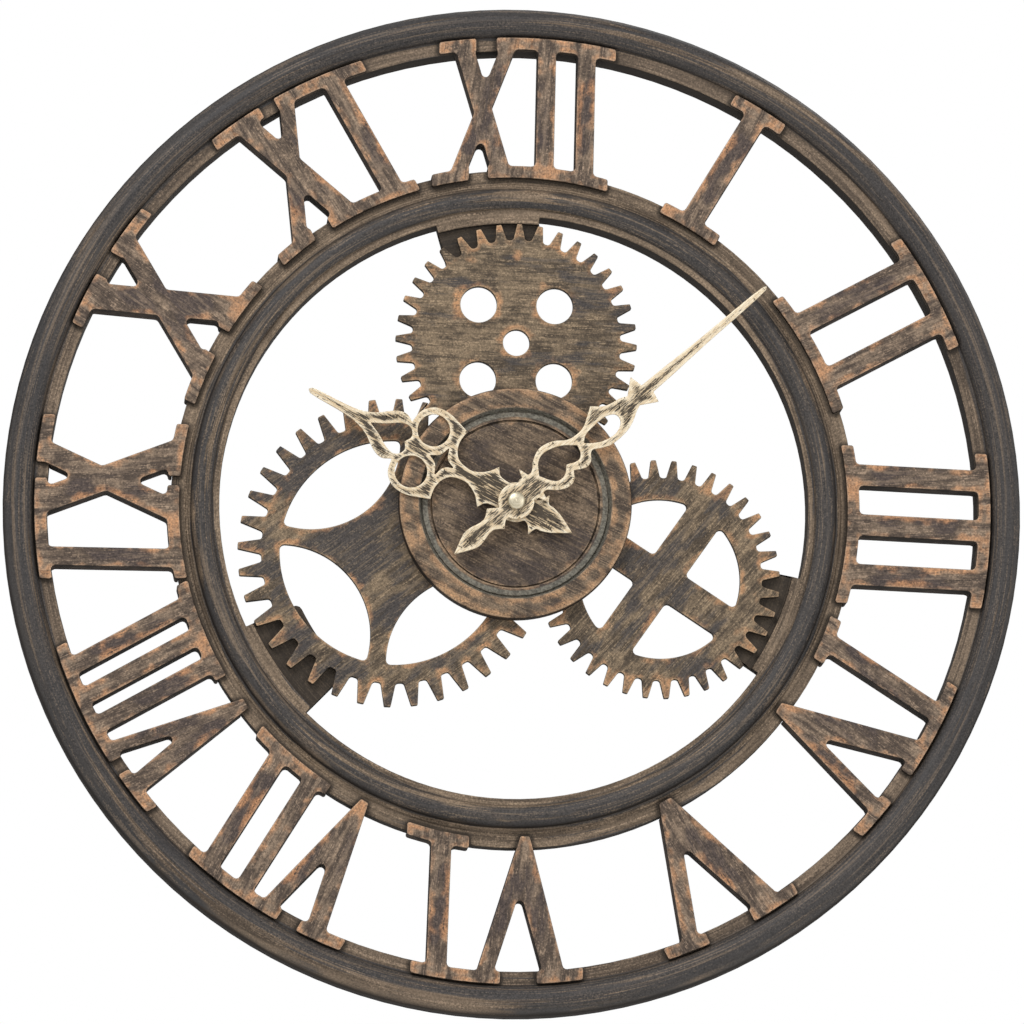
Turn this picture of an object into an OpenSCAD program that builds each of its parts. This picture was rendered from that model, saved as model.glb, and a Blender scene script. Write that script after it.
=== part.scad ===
// Open-work wall clock: two moulded rings joined by Roman numerals, three fixed gear plates,
// a grooved centre dial, two ornate hands and a battery movement behind the dial.
// Plates are drawn as the viewer sees them, X right and Y up, with Z the height above the wall.
// The last step of every module turns that drawing upright, so the wall is the plane y = 0.

/* [Outer ring] */
// Outside diameter of the clock
outer_ring_d = 450; // [444:1:456]
// Height of the bead's crest above the wall
outer_crest_h = 20; // [19:0.5:21]
// Height of the straight outer side above the wall
outer_side_h = 10; // [8:0.5:12]
// Width of the rounded bead
outer_bead_w = 13.5; // [13:0.25:14]
// Width of the flat flange inside the bead
outer_flange_w = 6.1; // [6:0.1:6.4]
// Height of the flange's face above the wall, on both rings
flange_h = 15; // [14.5:0.25:15.5]
// Wall thickness of both rings
ring_wall = 2.6; // [2.4:0.1:2.8]

/* [Inner ring] */
// Outside diameter of the inner ring
inner_ring_d = 302.4; // [300:0.2:304]
// Width of its flat flange
inner_flange_w = 8.6; // [8.4:0.1:8.8]
// Width of its rounded bead
inner_bead_w = 9.7; // [9.4:0.1:10]
// Height of the bead's crest above the wall
inner_crest_h = 22; // [21:0.5:23]
// Width of the flat lip inside the bead
lip_w = 3; // [2.6:0.1:3.2]
// Height of the lip and of the lugs above the wall
lip_h = 19; // [18.5:0.25:19.5]
// Height of the inner ring's and the numerals' backs above the wall
inner_back_h = 4.5; // [4:0.25:5]
// Height of one of the fine steps on the flange
flange_step_h = 0.5; // [0.4:0.05:0.6]
// Width of one of the fine steps on the flange
flange_step_w = 1.1; // [1:0.05:1.2]

/* [Lugs] */
// Half the angle that a lug spans, in degrees
lug_half_angle = 10.2; // [9.5:0.1:11]
// Thickness of a lug's shelf
lug_shelf_t = 5.8; // [5:0.2:6]
// Corner radius of a lug
lug_corner_r = 3; // [2.5:0.25:3.5]
// Width of shelf behind a gear plate's rim
lug_lap = 18; // [17:0.5:18.5]
// More width of shelf at the left lug, whose gear plate reaches it aslant
left_lug_more = 4.3; // [4:0.1:4.4]

/* [Numerals] */
// Thickness of a numeral's face plate
numeral_t = 3; // [2.5:0.25:3.5]
// Width of the serifs, along the clock's radius
serif_w = 5.4; // [5:0.1:5.6]
// Gap between the outer serifs and the outer bead
serif_inset = 0.4; // [0.3:0.1:0.5]
// How far the inner serifs lie on the inner flange
serif_lap = 3.7; // [3.4:0.1:4]
// How far the points of the V lie on the inner flange
point_lap = 5.4; // [5.2:0.1:5.6]
// Fillet radius in a numeral's inner corners
numeral_fillet = 1.8; // [1.4:0.1:2]
// Radius of a numeral's outer corners
numeral_round = 1; // [0.8:0.1:1.2]
// Gap between a numeral's end and a ring's side
numeral_gap = 0.1; // [0.05:0.05:0.2]
// Wall left round the hollow in a numeral's back
numeral_wall = 2.2; // [2:0.1:2.4]
// Depth of the hollow in a numeral's back
numeral_hollow = 7; // [5:0.5:8]
// Solid length at each end of a numeral's strokes
numeral_end = 9; // [8:0.5:10]

/* [Gear plates] */
// Thickness of the gear plates
gear_t = 4; // [3.5:0.25:4.5]
// Height of the gear plates' backs above the wall
gear_back_h = 16.3; // [16:0.1:16.5]
// Gap between gear plates that cut into each other, and to the lugs' steps
gear_gap = 0.3; // [0.2:0.05:0.4]
// Teeth on each gear plate
gear_teeth = 36; // [35:1:37]
// Radius of the rounded valleys between teeth
valley_r = 1.3; // [1:0.1:1.5]
// Radius of a tooth's corners
tooth_round = 0.5; // [0.3:0.1:0.6]
// Gap between the movement's corners and the bay that the plates leave for it
bay_gap = 1.4; // [1.2:0.1:1.8]
// Distance of the top gear's centre from the hands' axis
top_gear_reach = 72.8; // [72.2:0.1:73.2]
// Tip radius of the top gear
top_gear_tip_r = 53.4; // [53:0.1:53.6]
// Tooth height of the top gear
top_gear_tooth_h = 7.3; // [7:0.1:7.6]
// Radius of the four round holes in the top gear
top_gear_hole_r = 8.1; // [7.5:0.1:8.4]
// Distance of those holes from the top gear's centre
top_gear_hole_reach = 23.8; // [23:0.1:24.4]
// Radius of the hole at the top gear's centre
top_gear_bore_r = 5.9; // [5.5:0.1:6.3]
// Distance of the left gear's centre from the hands' axis
left_gear_reach = 57.5; // [57.2:0.1:57.8]
// Tip radius of the left gear
left_gear_tip_r = 68.4; // [68:0.1:68.6]
// Tooth height of the left gear
left_gear_tooth_h = 10.4; // [10:0.1:10.6]
// Width of the left gear's rim below its teeth
left_gear_rim_w = 8.1; // [7.8:0.1:8.4]
// Radius of the curved inner side of the left gear's openings
left_gear_arc_r = 39.5; // [39:0.25:40]
// Distance of that curve's centre from the left gear's centre
left_gear_arc_reach = 61.4; // [61:0.2:62]
// Distance of the right gear's centre from the hands' axis
right_gear_reach = 71.7; // [71.4:0.1:72]
// Tip radius of the right gear
right_gear_tip_r = 53; // [52.6:0.1:53.2]
// Tooth height of the right gear
right_gear_tooth_h = 8; // [7.7:0.1:8.3]
// Width of the right gear's rim below its teeth
right_gear_rim_w = 9.6; // [9.2:0.1:10]
// Width of the right gear's wide arm
wide_arm_w = 16.5; // [15.5:0.25:17.5]
// Width of the right gear's narrow arm
narrow_arm_w = 14.5; // [13.5:0.25:15.5]
// Corner radius of the openings in the gear plates
opening_r = 2; // [1.5:0.25:2.5]

/* [Dial] */
// Radius of the centre dial
dial_r = 51.3; // [50.8:0.1:51.8]
// Thickness of the dial at its rim
dial_rim_h = 7.7; // [7.4:0.1:8]
// Thickness of the dial at its centre
dial_centre_h = 4.2; // [4:0.1:4.4]
// Height of the dial's groove floor above its back
dial_groove_h = 5.2; // [5:0.1:5.6]
// Radius of the dial's bevelled edge
dial_edge = 1.4; // [1:0.1:1.6]
// Width of the raised ring round the dial
dial_ring_w = 7.5; // [7.2:0.1:7.8]
// Width of the groove inside the raised ring
dial_groove_w = 3.6; // [3.2:0.1:4]
// Width of the dark line each side of the groove
dial_line_w = 0.7; // [0.5:0.1:0.8]
// Depth of those lines
dial_line_depth = 1; // [0.8:0.1:1.2]

/* [Hands] */
// Length of the minute hand from the axis to its tip
minute_reach = 147.3; // [145:0.5:149]
// Length of the hour hand from the axis to its tip
hour_reach = 103.8; // [102:0.5:105]
// Thickness of both hands
hand_t = 1.2; // [1:0.1:1.4]
// Height of the hour hand above the dial's rim
hour_hand_lift = 0.8; // [0.6:0.1:1]
// Gap between the two hands
hand_gap = 1.4; // [1:0.1:1.6]
// Radius of the small fillets in the hands' outlines
hand_fillet = 0.3; // [0.2:0.05:0.4]
// Where the minute hand points at rest, in degrees clockwise from twelve
minute_hand_angle = 47.2; // [0:0.1:360]
// Where the hour hand points at rest, in degrees clockwise from twelve
hour_hand_angle = 296.9; // [0:0.1:360]
// Radius of the round nut that holds the minute hand
hand_nut_r = 3.85; // [3.6:0.05:4]
// Height of that nut
hand_nut_h = 3.2; // [3:0.1:3.4]

/* [Movement] */
// Room for a contact at each end of the battery
contact_room = 1.45; // [1.3:0.05:1.6]
// Depth of the case
case_depth = 16; // [15.8:0.1:16]
// Wall of the case
case_wall = 1.6; // [1.4:0.1:1.6]
// Radius of the threaded collar that passes through the dial
collar_r = 3.95; // [3.8:0.05:4.1]
// Height of the collar in front of the case
collar_h = 7; // [6.8:0.1:7.2]
// Radius of the hour hand's tube
hour_tube_r = 2.5; // [2.4:0.05:2.6]
// Radius of the minute hand's arbor
minute_arbor_r = 1.6; // [1.5:0.05:1.7]
// Gap round each turning shaft
running_fit = 0.08; // [0.06:0.01:0.1]
// Gap round a hand, a screw or a nut that grips
grip_fit = 0.02; // [0.01:0.01:0.03]
// Width of the fixing nut across its flats
nut_flats = 11; // [10.5:0.25:11.5]
// Thickness of the fixing nut
nut_t = 2; // [1.8:0.1:2.2]
// Thickness of the washer under the nut
washer_t = 0.5; // [0.4:0.1:0.6]
// Radius of the washer
washer_r = 6.8; // [6.6:0.1:7]
// Thickness of the rubber gasket behind the dial
gasket_t = 1; // [0.8:0.1:1.2]
// Radius of the gasket
gasket_r = 9; // [8.5:0.25:9.5]
// Diameter of the battery
battery_d = 14.2; // [14:0.1:14.3]
// Length of the battery's can
battery_can_l = 48.5; // [48:0.1:48.8]
// Length of the battery's terminal
battery_tip_l = 1.4; // [1.2:0.1:1.5]
// Radius of the setting knob
knob_r = 4.5; // [4:0.25:4.75]
// Thickness of the setting knob
knob_t = 2.6; // [2.2:0.1:2.8]

/* [Fixings] */
// Radius of the screws' threads
screw_r = 1.1; // [1:0.05:1.2]
// Radius of the screws' heads
screw_head_r = 2; // [1.9:0.05:2.1]
// Height of the screws' heads
screw_head_h = 1.3; // [1.2:0.05:1.4]
// Length of thread that grips in a numeral
numeral_bite = 6; // [5:0.5:7]
// Length of thread that grips in a gear plate
gear_bite = 2.8; // [2.4:0.1:3]
// Length of thread that grips in the dial
dial_bite = 3; // [2.6:0.1:3.2]
// Width of the hanger plate
hanger_w = 42; // [40:1:44]
// Thickness of the hanger plate
hanger_t = 1.2; // [1:0.1:1.4]
// Radius of the hanger's round hole
hanger_hole_r = 3.3; // [3.2:0.1:3.4]
// Width of metal below that hole
hanger_rim = 1.3; // [1.2:0.1:1.5]
// Half width of the hanger's slot
hanger_slot_r = 1.5; // [1.4:0.1:1.6]
// Length of the hanger's slot above the round hole's centre
hanger_slot_l = 5.4; // [5:0.1:5.6]

/* [Hidden] */
// Facets of large circles, of small ones, and of the small arcs that offset() makes
$fn = 96;
small_fn = 32;
arc_fn = 12;
ring_fn = 240;
// How far cuts run past what they cut
over = 1;
// Outlines given in shares are thousandths of the size that they follow
full_share = 1000;
bronze = "#7d6f60";
charcoal = "#4f4a46";
steel = "#a9adb0";
brass = "#c8a862";
white_plastic = "#d8d6d0";
black_plastic = "#2b2b2d";

outer_r = outer_ring_d / 2;
outer_flange_r = outer_r - outer_bead_w;
outer_hole_r = outer_flange_r - outer_flange_w;
inner_r = inner_ring_d / 2;
inner_flange_r = inner_r - inner_flange_w;
inner_lip_r = inner_flange_r - inner_bead_w;
inner_hole_r = inner_lip_r - lip_w;

serif_out_r = outer_flange_r - serif_inset;
serif_in_r = inner_r - serif_lap;
point_y = inner_r - point_lap;
numeral_h = serif_out_r - serif_in_r;

gear_front_h = gear_back_h + gear_t;
lug_step_r = max(top_gear_reach + top_gear_tip_r, left_gear_reach + left_gear_tip_r,
                 right_gear_reach + right_gear_tip_r) + gear_gap;
lug_shelf_back_h = gear_back_h - lug_shelf_t;
LUG_ANGLES = [96.9, 216.7, 337.5];
LUG_MORE = [0, left_lug_more, 0];

case_half = (battery_can_l + battery_tip_l) / 2 + contact_room + case_wall;
case_w = 2 * case_half;
bay_r = sqrt(2) * case_half + bay_gap;
dial_front_h = gear_front_h + dial_rim_h;
dial_centre_front_h = gear_front_h + dial_centre_h;
case_back_h = gear_front_h - case_depth;
collar_top_h = gear_front_h + collar_h;
hour_hand_h = dial_front_h + hour_hand_lift;
minute_hand_h = hour_hand_h + hand_t + hand_gap;
hand_nut_top_h = minute_hand_h + hand_t + hand_nut_h;

// Turns a drawing seen from the front upright, with its height above the wall towards the viewer
module upright() {
    rotate([90, 0, 0]) children();
}

// Moves a piece outward along the clock face at an angle counted from X, anticlockwise
module out_at(angle, reach) {
    rotate(angle) translate([reach, 0, 0]) children();
}

// A flat piece between two heights above the wall
module slab(low, high) {
    translate([0, 0, low]) linear_extrude(high - low) children();
}

// A round pin or hole between two heights above the wall
module pin(low, high, r) {
    translate([0, 0, low]) cylinder(h = high - low, r = r);
}

// Fillets the inner corners of an outline, then rounds its outer corners
module eased(fillet, round) {
    offset(r = round, $fn = arc_fn) offset(r = -round - fillet, $fn = arc_fn)
        offset(r = fillet, $fn = arc_fn) children();
}

function on_circle(r, angle) = [r * cos(angle), r * sin(angle)];

// Points over a rounded bead from [r0, z0] to [r1, z1], with its crest at height top
bead_steps = 10;
function bead(r0, z0, r1, z1, top) =
    [for (i = [0:bead_steps])
        let (t = i / bead_steps, low = z0 + (z1 - z0) * t)
        [r0 + (r1 - r0) * (1 - cos(180 * t)) / 2, low + (top - low) * sin(180 * t)]];

function backwards(list) = [for (i = [len(list) - 1:-1:0]) list[i]];

// The outer ring: a deep moulded channel, open at the wall, with two posts for the hanger plate
hanger_post_r = screw_head_r + 0.4 * screw_head_r;
hanger_low_y = outer_hole_r + ring_wall + numeral_gap;
hanger_corner_r = outer_r - ring_wall - numeral_gap;
hanger_high_y = sqrt(hanger_corner_r * hanger_corner_r - hanger_w * hanger_w / 4);
hanger_y = (hanger_low_y + hanger_high_y) / 2;
hanger_post_x = hanger_w / 2 - hanger_post_r;
outer_skin_h = flange_h - ring_wall;
module outer_ring() {
    outside = bead(outer_r, outer_side_h, outer_flange_r, flange_h, outer_crest_h);
    hollow = bead(outer_r - ring_wall, outer_side_h, outer_flange_r, outer_skin_h,
                  outer_crest_h - ring_wall);
    color(bronze) upright() difference() {
        rotate_extrude($fn = ring_fn)
            polygon(concat([[outer_hole_r, 0], [outer_hole_r, flange_h]], backwards(outside),
                           [[outer_r, 0]]));
        difference() {
            rotate_extrude($fn = ring_fn)
                polygon(concat([[outer_r - ring_wall, -over]], hollow,
                               [[outer_hole_r + ring_wall, outer_skin_h],
                                [outer_hole_r + ring_wall, -over]]));
            for (side = [-1, 1])
                translate([side * hanger_post_x, hanger_y])
                    pin(hanger_t, outer_crest_h, hanger_post_r);
        }
        hanger_screw_holes(screw_r + grip_fit);
        numeral_screw_holes(screw_r + grip_fit);
    }
}

// The inner ring: flange, bead and lip, with three lugs that carry the gear plates
module inner_ring() {
    first_step_r = inner_flange_r + flange_step_w;
    second_step_r = first_step_r + flange_step_w;
    skin_h = flange_h - ring_wall;
    outside = bead(inner_flange_r, flange_h + 2 * flange_step_h, inner_lip_r, lip_h, inner_crest_h);
    hollow = bead(inner_flange_r, skin_h, inner_lip_r, lip_h - ring_wall, inner_crest_h - ring_wall);
    color(bronze) upright() {
        difference() {
            union() {
                rotate_extrude($fn = ring_fn)
                    polygon(concat([[inner_r, inner_back_h], [inner_r, flange_h],
                                    [second_step_r, flange_h], [second_step_r, flange_h + flange_step_h],
                                    [first_step_r, flange_h + flange_step_h],
                                    [first_step_r, flange_h + 2 * flange_step_h]],
                                   outside,
                                   [[inner_hole_r, lip_h], [inner_hole_r, inner_back_h],
                                    [inner_hole_r + ring_wall, inner_back_h],
                                    [inner_hole_r + ring_wall, lip_h - ring_wall]],
                                   backwards(hollow),
                                   [[inner_r - ring_wall, skin_h], [inner_r - ring_wall, inner_back_h]]));
                for (i = [0:2])
                    lug(LUG_ANGLES[i], LUG_MORE[i]);
            }
            gear_screw_holes(screw_r + grip_fit);
            numeral_screw_holes(screw_r + grip_fit);
        }
    }
}

// One lug: a land level with the lip, and a lower shelf behind a gear plate
module lug_outline(angle, from_r, to_r, half_angle) {
    intersection() {
        difference() {
            circle(r = to_r, $fn = ring_fn);
            circle(r = from_r, $fn = ring_fn);
        }
        rotate(angle) polygon([[0, 0], on_circle(2 * to_r, -half_angle), on_circle(2 * to_r, half_angle)]);
    }
}
module lug(angle, more) {
    inside = inner_hole_r + lip_w / 2;
    slab(gear_back_h - lug_shelf_t, lip_h)
        eased(lug_corner_r / 2, lug_corner_r / full_share)
            lug_outline(angle, lug_step_r, inside, lug_half_angle);
    slab(gear_back_h - lug_shelf_t, gear_back_h)
        eased(lug_corner_r / full_share, lug_corner_r)
            lug_outline(angle, lug_step_r - lug_lap - more, inside, lug_half_angle);
}

// Each numeral's strokes and serifs, in shares (thousandths) of the height between the serifs, across the
// numeral from its centre line.
// I: centre, width. V: left edge, right edge, thick, thin, point, point's width, inner corner, its height.
// X: left and right edge at the top, left and right edge at the bottom, thick, thin.
letter_shares = [
    [["I", 0, 160]],
    [["I", -215, 153], ["I", 215, 153]],
    [["I", -350, 150], ["I", 0, 150], ["I", 350, 150]],
    [["I", -410, 130], ["V", -210, 450, 160, 105, 165, 80, 190, 310]],
    [["V", -420, 395, 200, 120, 15, 95, 50, 300]],
    [["V", -500, 155, 150, 115, -165, 65, -145, 350], ["I", 410, 140]],
    [["V", -510, 15, 140, 110, -225, 60, -220, 400], ["I", 155, 130], ["I", 440, 130]],
    [["V", -535, -85, 130, 90, -315, 75, -285, 420], ["I", 40, 125], ["I", 255, 125], ["I", 480, 125]],
    [["I", -410, 130], ["X", -140, 435, -175, 435, 185, 160]],
    [["X", -335, 360, -370, 335, 205, 165]],
    [["X", -430, 105, -450, 100, 165, 115], ["I", 370, 143]],
    [["X", -520, -35, -510, -65, 135, 110], ["I", 157, 127], ["I", 435, 127]],
];
// Left and right ends of each serif at the outer ring
outer_serif_shares = [
    [[-205, 205]], [[-430, 430]], [[-545, 545]],
    [[-640, 60], [280, 600]], [[-510, -150], [190, 500]], [[-600, -280], [-30, 590]],
    [[-630, -300], [-150, 600]], [[-650, -330], [-230, 650]], [[-570, 135], [245, 580]],
    [[-440, -55], [125, 500]], [[-575, -170], [-55, 620]], [[-600, -340], [-200, 640]],
];
// Left and right ends of each serif at the inner ring
inner_serif_shares = [
    [[-225, 225]], [[-448, 448]], [[-555, 555]],
    [[-580, -260]], [], [[220, 650]],
    [[30, 650]], [[-80, 630]], [[-550, 100], [165, 530]],
    [[-510, -135], [50, 450]], [[-570, -280], [-140, 530]], [[-630, -370], [-240, 600]],
];
// Where screws enter each numeral's strokes from the outer ring, and from the inner ring
outer_screw_shares = [
    [0], [-215, 215], [-350, 350], [-410, -90], [-280], [-390, 410],
    [-410, 155, 440], [-450, 40, 480], [-410, 300], [-175], [-300, 370], [-410, 157, 435],
];
inner_screw_shares = [
    [0], [-215, 215], [-350, 350], [-410, 165], [15], [-165, 410],
    [-228, 155, 440], [-314, 40, 480], [-410, 305], [187], [-20, 370], [-165, 157, 435],
];
// How far each numeral's centre stands clockwise of its hour, in degrees
HOUR_TURNS = [-0.15, 0.4, 0.9, 1.45, 1, 0.6, 0.5, -0.7, -1, -1.65, -1.2, -0.3];

// Numerals spread with the rings: at each ring, a share counts in this part of that ring's radius
numeral_out_share = 301;
numeral_in_share = 431;
function across_out(share) = share * serif_out_r * numeral_out_share / (full_share * full_share);
function across_in(share) = share * serif_in_r * numeral_in_share / (full_share * full_share);
function across(share) = (across_out(share) + across_in(share)) / 2;

// A slanted stroke between the serif lines, run on past both
module stroke(bottom, top, width) {
    more = serif_w / numeral_h;
    low_y = serif_in_r - serif_w;
    high_y = serif_out_r + serif_w;
    low_x = bottom - (top - bottom) * more;
    high_x = top + (top - bottom) * more;
    polygon([[low_x - width / 2, low_y], [low_x + width / 2, low_y],
             [high_x + width / 2, high_y], [high_x - width / 2, high_y]]);
}

module letter_i(s) {
    stroke(across_in(s[1]), across_out(s[1]), across(s[2]));
}

module letter_v(s) {
    left = across_out(s[1]);
    right = across_out(s[2]);
    point = across_in(s[5]);
    half = across(s[6]) / 2;
    polygon([[left, serif_out_r], [left + across(s[3]), serif_out_r],
             [across_in(s[7]), serif_in_r + s[8] * numeral_h / full_share],
             [right - across(s[4]), serif_out_r], [right, serif_out_r],
             [point + half, point_y], [point - half, point_y]]);
}

module letter_x(s) {
    thick = across(s[5]);
    thin = across(s[6]);
    stroke(across_in(s[4]) - thick / 2, across_out(s[1]) + thick / 2, thick);
    stroke(across_in(s[3]) + thin / 2, across_out(s[2]) - thin / 2, thin);
}

// One serif: a band between two circles about the hands' axis
module serif(ends, from_r, to_r) {
    intersection() {
        difference() {
            circle(r = to_r, $fn = ring_fn);
            circle(r = from_r, $fn = ring_fn);
        }
        translate([ends[0], 0]) square([ends[1] - ends[0], to_r]);
    }
}

// The whole outline of numeral n, pointing up
module numeral_outline(n) {
    eased(numeral_fillet, numeral_round) {
        intersection() {
            circle(r = serif_out_r, $fn = ring_fn);
            union() {
                difference() {
                    for (s = letter_shares[n]) {
                        if (s[0] == "I") letter_i(s);
                        if (s[0] == "X") letter_x(s);
                    }
                    circle(r = serif_in_r, $fn = ring_fn);
                }
                for (s = letter_shares[n])
                    if (s[0] == "V") letter_v(s);
            }
        }
        for (ends = outer_serif_shares[n])
            serif([for (share = ends) across_out(share)], serif_out_r - serif_w, serif_out_r);
        for (ends = inner_serif_shares[n])
            serif([for (share = ends) across_in(share)], serif_in_r, serif_in_r + serif_w);
    }
}

module between_rings(gap) {
    intersection() {
        children();
        difference() {
            circle(r = outer_hole_r - gap, $fn = ring_fn);
            circle(r = inner_r + gap, $fn = ring_fn);
        }
    }
}

// A numeral: a face plate that lies on both flanges and deep strokes, hollow behind, between the rings
module numeral(n) {
    color(bronze) upright() rotate(-30 * (n + 1) - HOUR_TURNS[n]) {
        difference() {
            union() {
                slab(flange_h, flange_h + numeral_t) numeral_outline(n);
                slab(inner_back_h, flange_h) between_rings(numeral_gap) numeral_outline(n);
            }
            slab(inner_back_h - over, inner_back_h + numeral_hollow)
                offset(delta = -numeral_wall)
                    between_rings(numeral_end) numeral_outline(n);
            own_screw_holes(n, screw_r + grip_fit);
        }
    }
}

// Height above the wall at which the numerals' screws enter
numeral_screw_h = (inner_back_h + flange_h) / 2;

// Where a stroke that stands off the numeral's centre line by off crosses a ring's side
module at_side(off, r) {
    rotate(-asin(off / r)) translate([0, r, numeral_screw_h]) children();
}

// Pilot holes in the ends of numeral n's strokes, and clearance holes through the rings' sides
module own_screw_holes(n, r) {
    for (share = outer_screw_shares[n])
        at_side(across_out(share), outer_hole_r + ring_wall) rotate([90, 0, 0])
            translate([0, 0, -over])
                cylinder(h = over + ring_wall + numeral_bite, r = r, $fn = small_fn);
    for (share = inner_screw_shares[n])
        at_side(across_in(share), inner_r - ring_wall) rotate([-90, 0, 0])
            translate([0, 0, -over])
                cylinder(h = over + ring_wall + numeral_bite, r = r, $fn = small_fn);
}

module numeral_screw_holes(r) {
    for (n = [0:11])
        rotate(-30 * (n + 1) - HOUR_TURNS[n]) own_screw_holes(n, r);
}

// A screw pointing down from the underside of its head, which lies at height zero
module screw(length) {
    rotate_extrude($fn = small_fn)
        polygon([[0, screw_head_h], [screw_head_r / 2, screw_head_h],
                 [screw_head_r, screw_head_h / 2], [screw_head_r, 0], [screw_r, 0],
                 [screw_r, screw_r - length], [0, -length]]);
}

module numeral_screws() {
    length = ring_wall + numeral_bite - grip_fit;
    color(steel) upright() for (n = [0:11])
        rotate(-30 * (n + 1) - HOUR_TURNS[n]) {
            for (share = outer_screw_shares[n])
                at_side(across_out(share), outer_hole_r + ring_wall) rotate([-90, 0, 0]) screw(length);
            for (share = inner_screw_shares[n])
                at_side(across_in(share), inner_r - ring_wall - grip_fit) rotate([90, 0, 0]) screw(length);
        }
}

// Toothed outline; a tooth's tip and base widths are shares of the pitch, in thousandths
tooth_tip_share = 240;
tooth_base_share = 660;
module toothed(tip_r, tooth_h, phase) {
    pitch = 360 / gear_teeth;
    tip = pitch * tooth_tip_share / full_share / 2;
    base = pitch * tooth_base_share / full_share / 2;
    root_r = tip_r - tooth_h;
    eased(valley_r, tooth_round)
        polygon([for (i = [0:gear_teeth - 1])
            let (a = phase + i * pitch)
            each [on_circle(root_r, a - base), on_circle(tip_r, a - tip),
                  on_circle(tip_r, a + tip), on_circle(root_r, a + base)]]);
}

top_gear_angle = 91;
left_gear_angle = 203.4;
right_gear_angle = 335;
left_gear_phase = -0.4;
right_gear_phase = 4.6;
top_gear_hole_angle = 46;
left_gear_arm_angle = -7;
wide_arm_angle = 56.4;
narrow_arm_angle = -32;

module top_toothed() {
    out_at(top_gear_angle, top_gear_reach) rotate(-top_gear_angle)
        toothed(top_gear_tip_r, top_gear_tooth_h, 0);
}
module right_toothed() {
    out_at(right_gear_angle, right_gear_reach) rotate(-right_gear_angle)
        toothed(right_gear_tip_r, right_gear_tooth_h, right_gear_phase);
}

// Cuts the movement's bay out of a plate and gives it its thickness
module gear_plate() {
    color(bronze) upright() difference() {
        slab(gear_back_h, gear_front_h) children();
        pin(gear_back_h - over, gear_front_h + over, bay_r);
        gear_screw_holes(screw_r + grip_fit);
        dial_screw_holes(screw_r + grip_fit);
    }
}

module top_gear_plate() {
    gear_plate() difference() {
        top_toothed();
        out_at(top_gear_angle, top_gear_reach) rotate(-top_gear_angle) {
            circle(r = top_gear_bore_r);
            for (i = [0:3])
                out_at(top_gear_hole_angle + 90 * i, top_gear_hole_reach) circle(r = top_gear_hole_r);
        }
    }
}

// The left plate gives way to the other two where their teeth reach into it
module left_gear_plate() {
    rim_r = left_gear_tip_r - left_gear_tooth_h - left_gear_rim_w;
    gear_plate() difference() {
        out_at(left_gear_angle, left_gear_reach) rotate(-left_gear_angle) difference() {
            toothed(left_gear_tip_r, left_gear_tooth_h, left_gear_phase);
            for (i = [0:3])
                offset(r = opening_r, $fn = arc_fn) offset(r = -opening_r, $fn = arc_fn) intersection() {
                    circle(r = rim_r, $fn = ring_fn);
                    out_at(left_gear_arm_angle + 45 + 90 * i, left_gear_arc_reach)
                        circle(r = left_gear_arc_r, $fn = ring_fn);
                }
        }
        offset(delta = gear_gap) top_toothed();
        offset(delta = gear_gap) right_toothed();
    }
}

module right_gear_plate() {
    rim_r = right_gear_tip_r - right_gear_tooth_h - right_gear_rim_w;
    gear_plate() difference() {
        right_toothed();
        out_at(right_gear_angle, right_gear_reach) rotate(-right_gear_angle)
            offset(r = opening_r, $fn = arc_fn) offset(r = -opening_r, $fn = arc_fn) difference() {
                circle(r = rim_r, $fn = ring_fn);
                rotate(wide_arm_angle) square([2 * rim_r + over, wide_arm_w], center = true);
                rotate(narrow_arm_angle) square([2 * rim_r + over, narrow_arm_w], center = true);
            }
    }
}

// Screws from behind: two through each lug's shelf, two through each gear plate into the dial
GEAR_SCREW_SPREAD = [5, 4, 5];
gear_screw_inset = lug_lap * 0.25;
module at_gear_screws() {
    for (i = [0:2])
        for (side = [-1, 1])
            out_at(LUG_ANGLES[i] + side * GEAR_SCREW_SPREAD[i],
                   lug_step_r - lug_lap - LUG_MORE[i] + gear_screw_inset) children();
}
module gear_screw_holes(r) {
    at_gear_screws() pin(lug_shelf_back_h - over, gear_back_h + gear_bite, r);
}
module gear_screws() {
    color(steel) upright() at_gear_screws()
        translate([0, 0, lug_shelf_back_h]) mirror([0, 0, 1]) screw(lug_shelf_t + gear_bite - grip_fit);
}

DIAL_SCREW_ANGLES = [63, 119, 141.4, 265.4, 304.1, 5.9];
dial_screw_reach = (bay_r + dial_r) / 2;
module at_dial_screws() {
    for (a = DIAL_SCREW_ANGLES)
        out_at(a, dial_screw_reach) children();
}
module dial_screw_holes(r) {
    at_dial_screws() pin(gear_back_h - over, gear_front_h + dial_bite, r);
}
module dial_screws() {
    color(steel) upright() at_dial_screws()
        translate([0, 0, gear_back_h]) mirror([0, 0, 1]) screw(gear_t + dial_bite - grip_fit);
}

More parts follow.
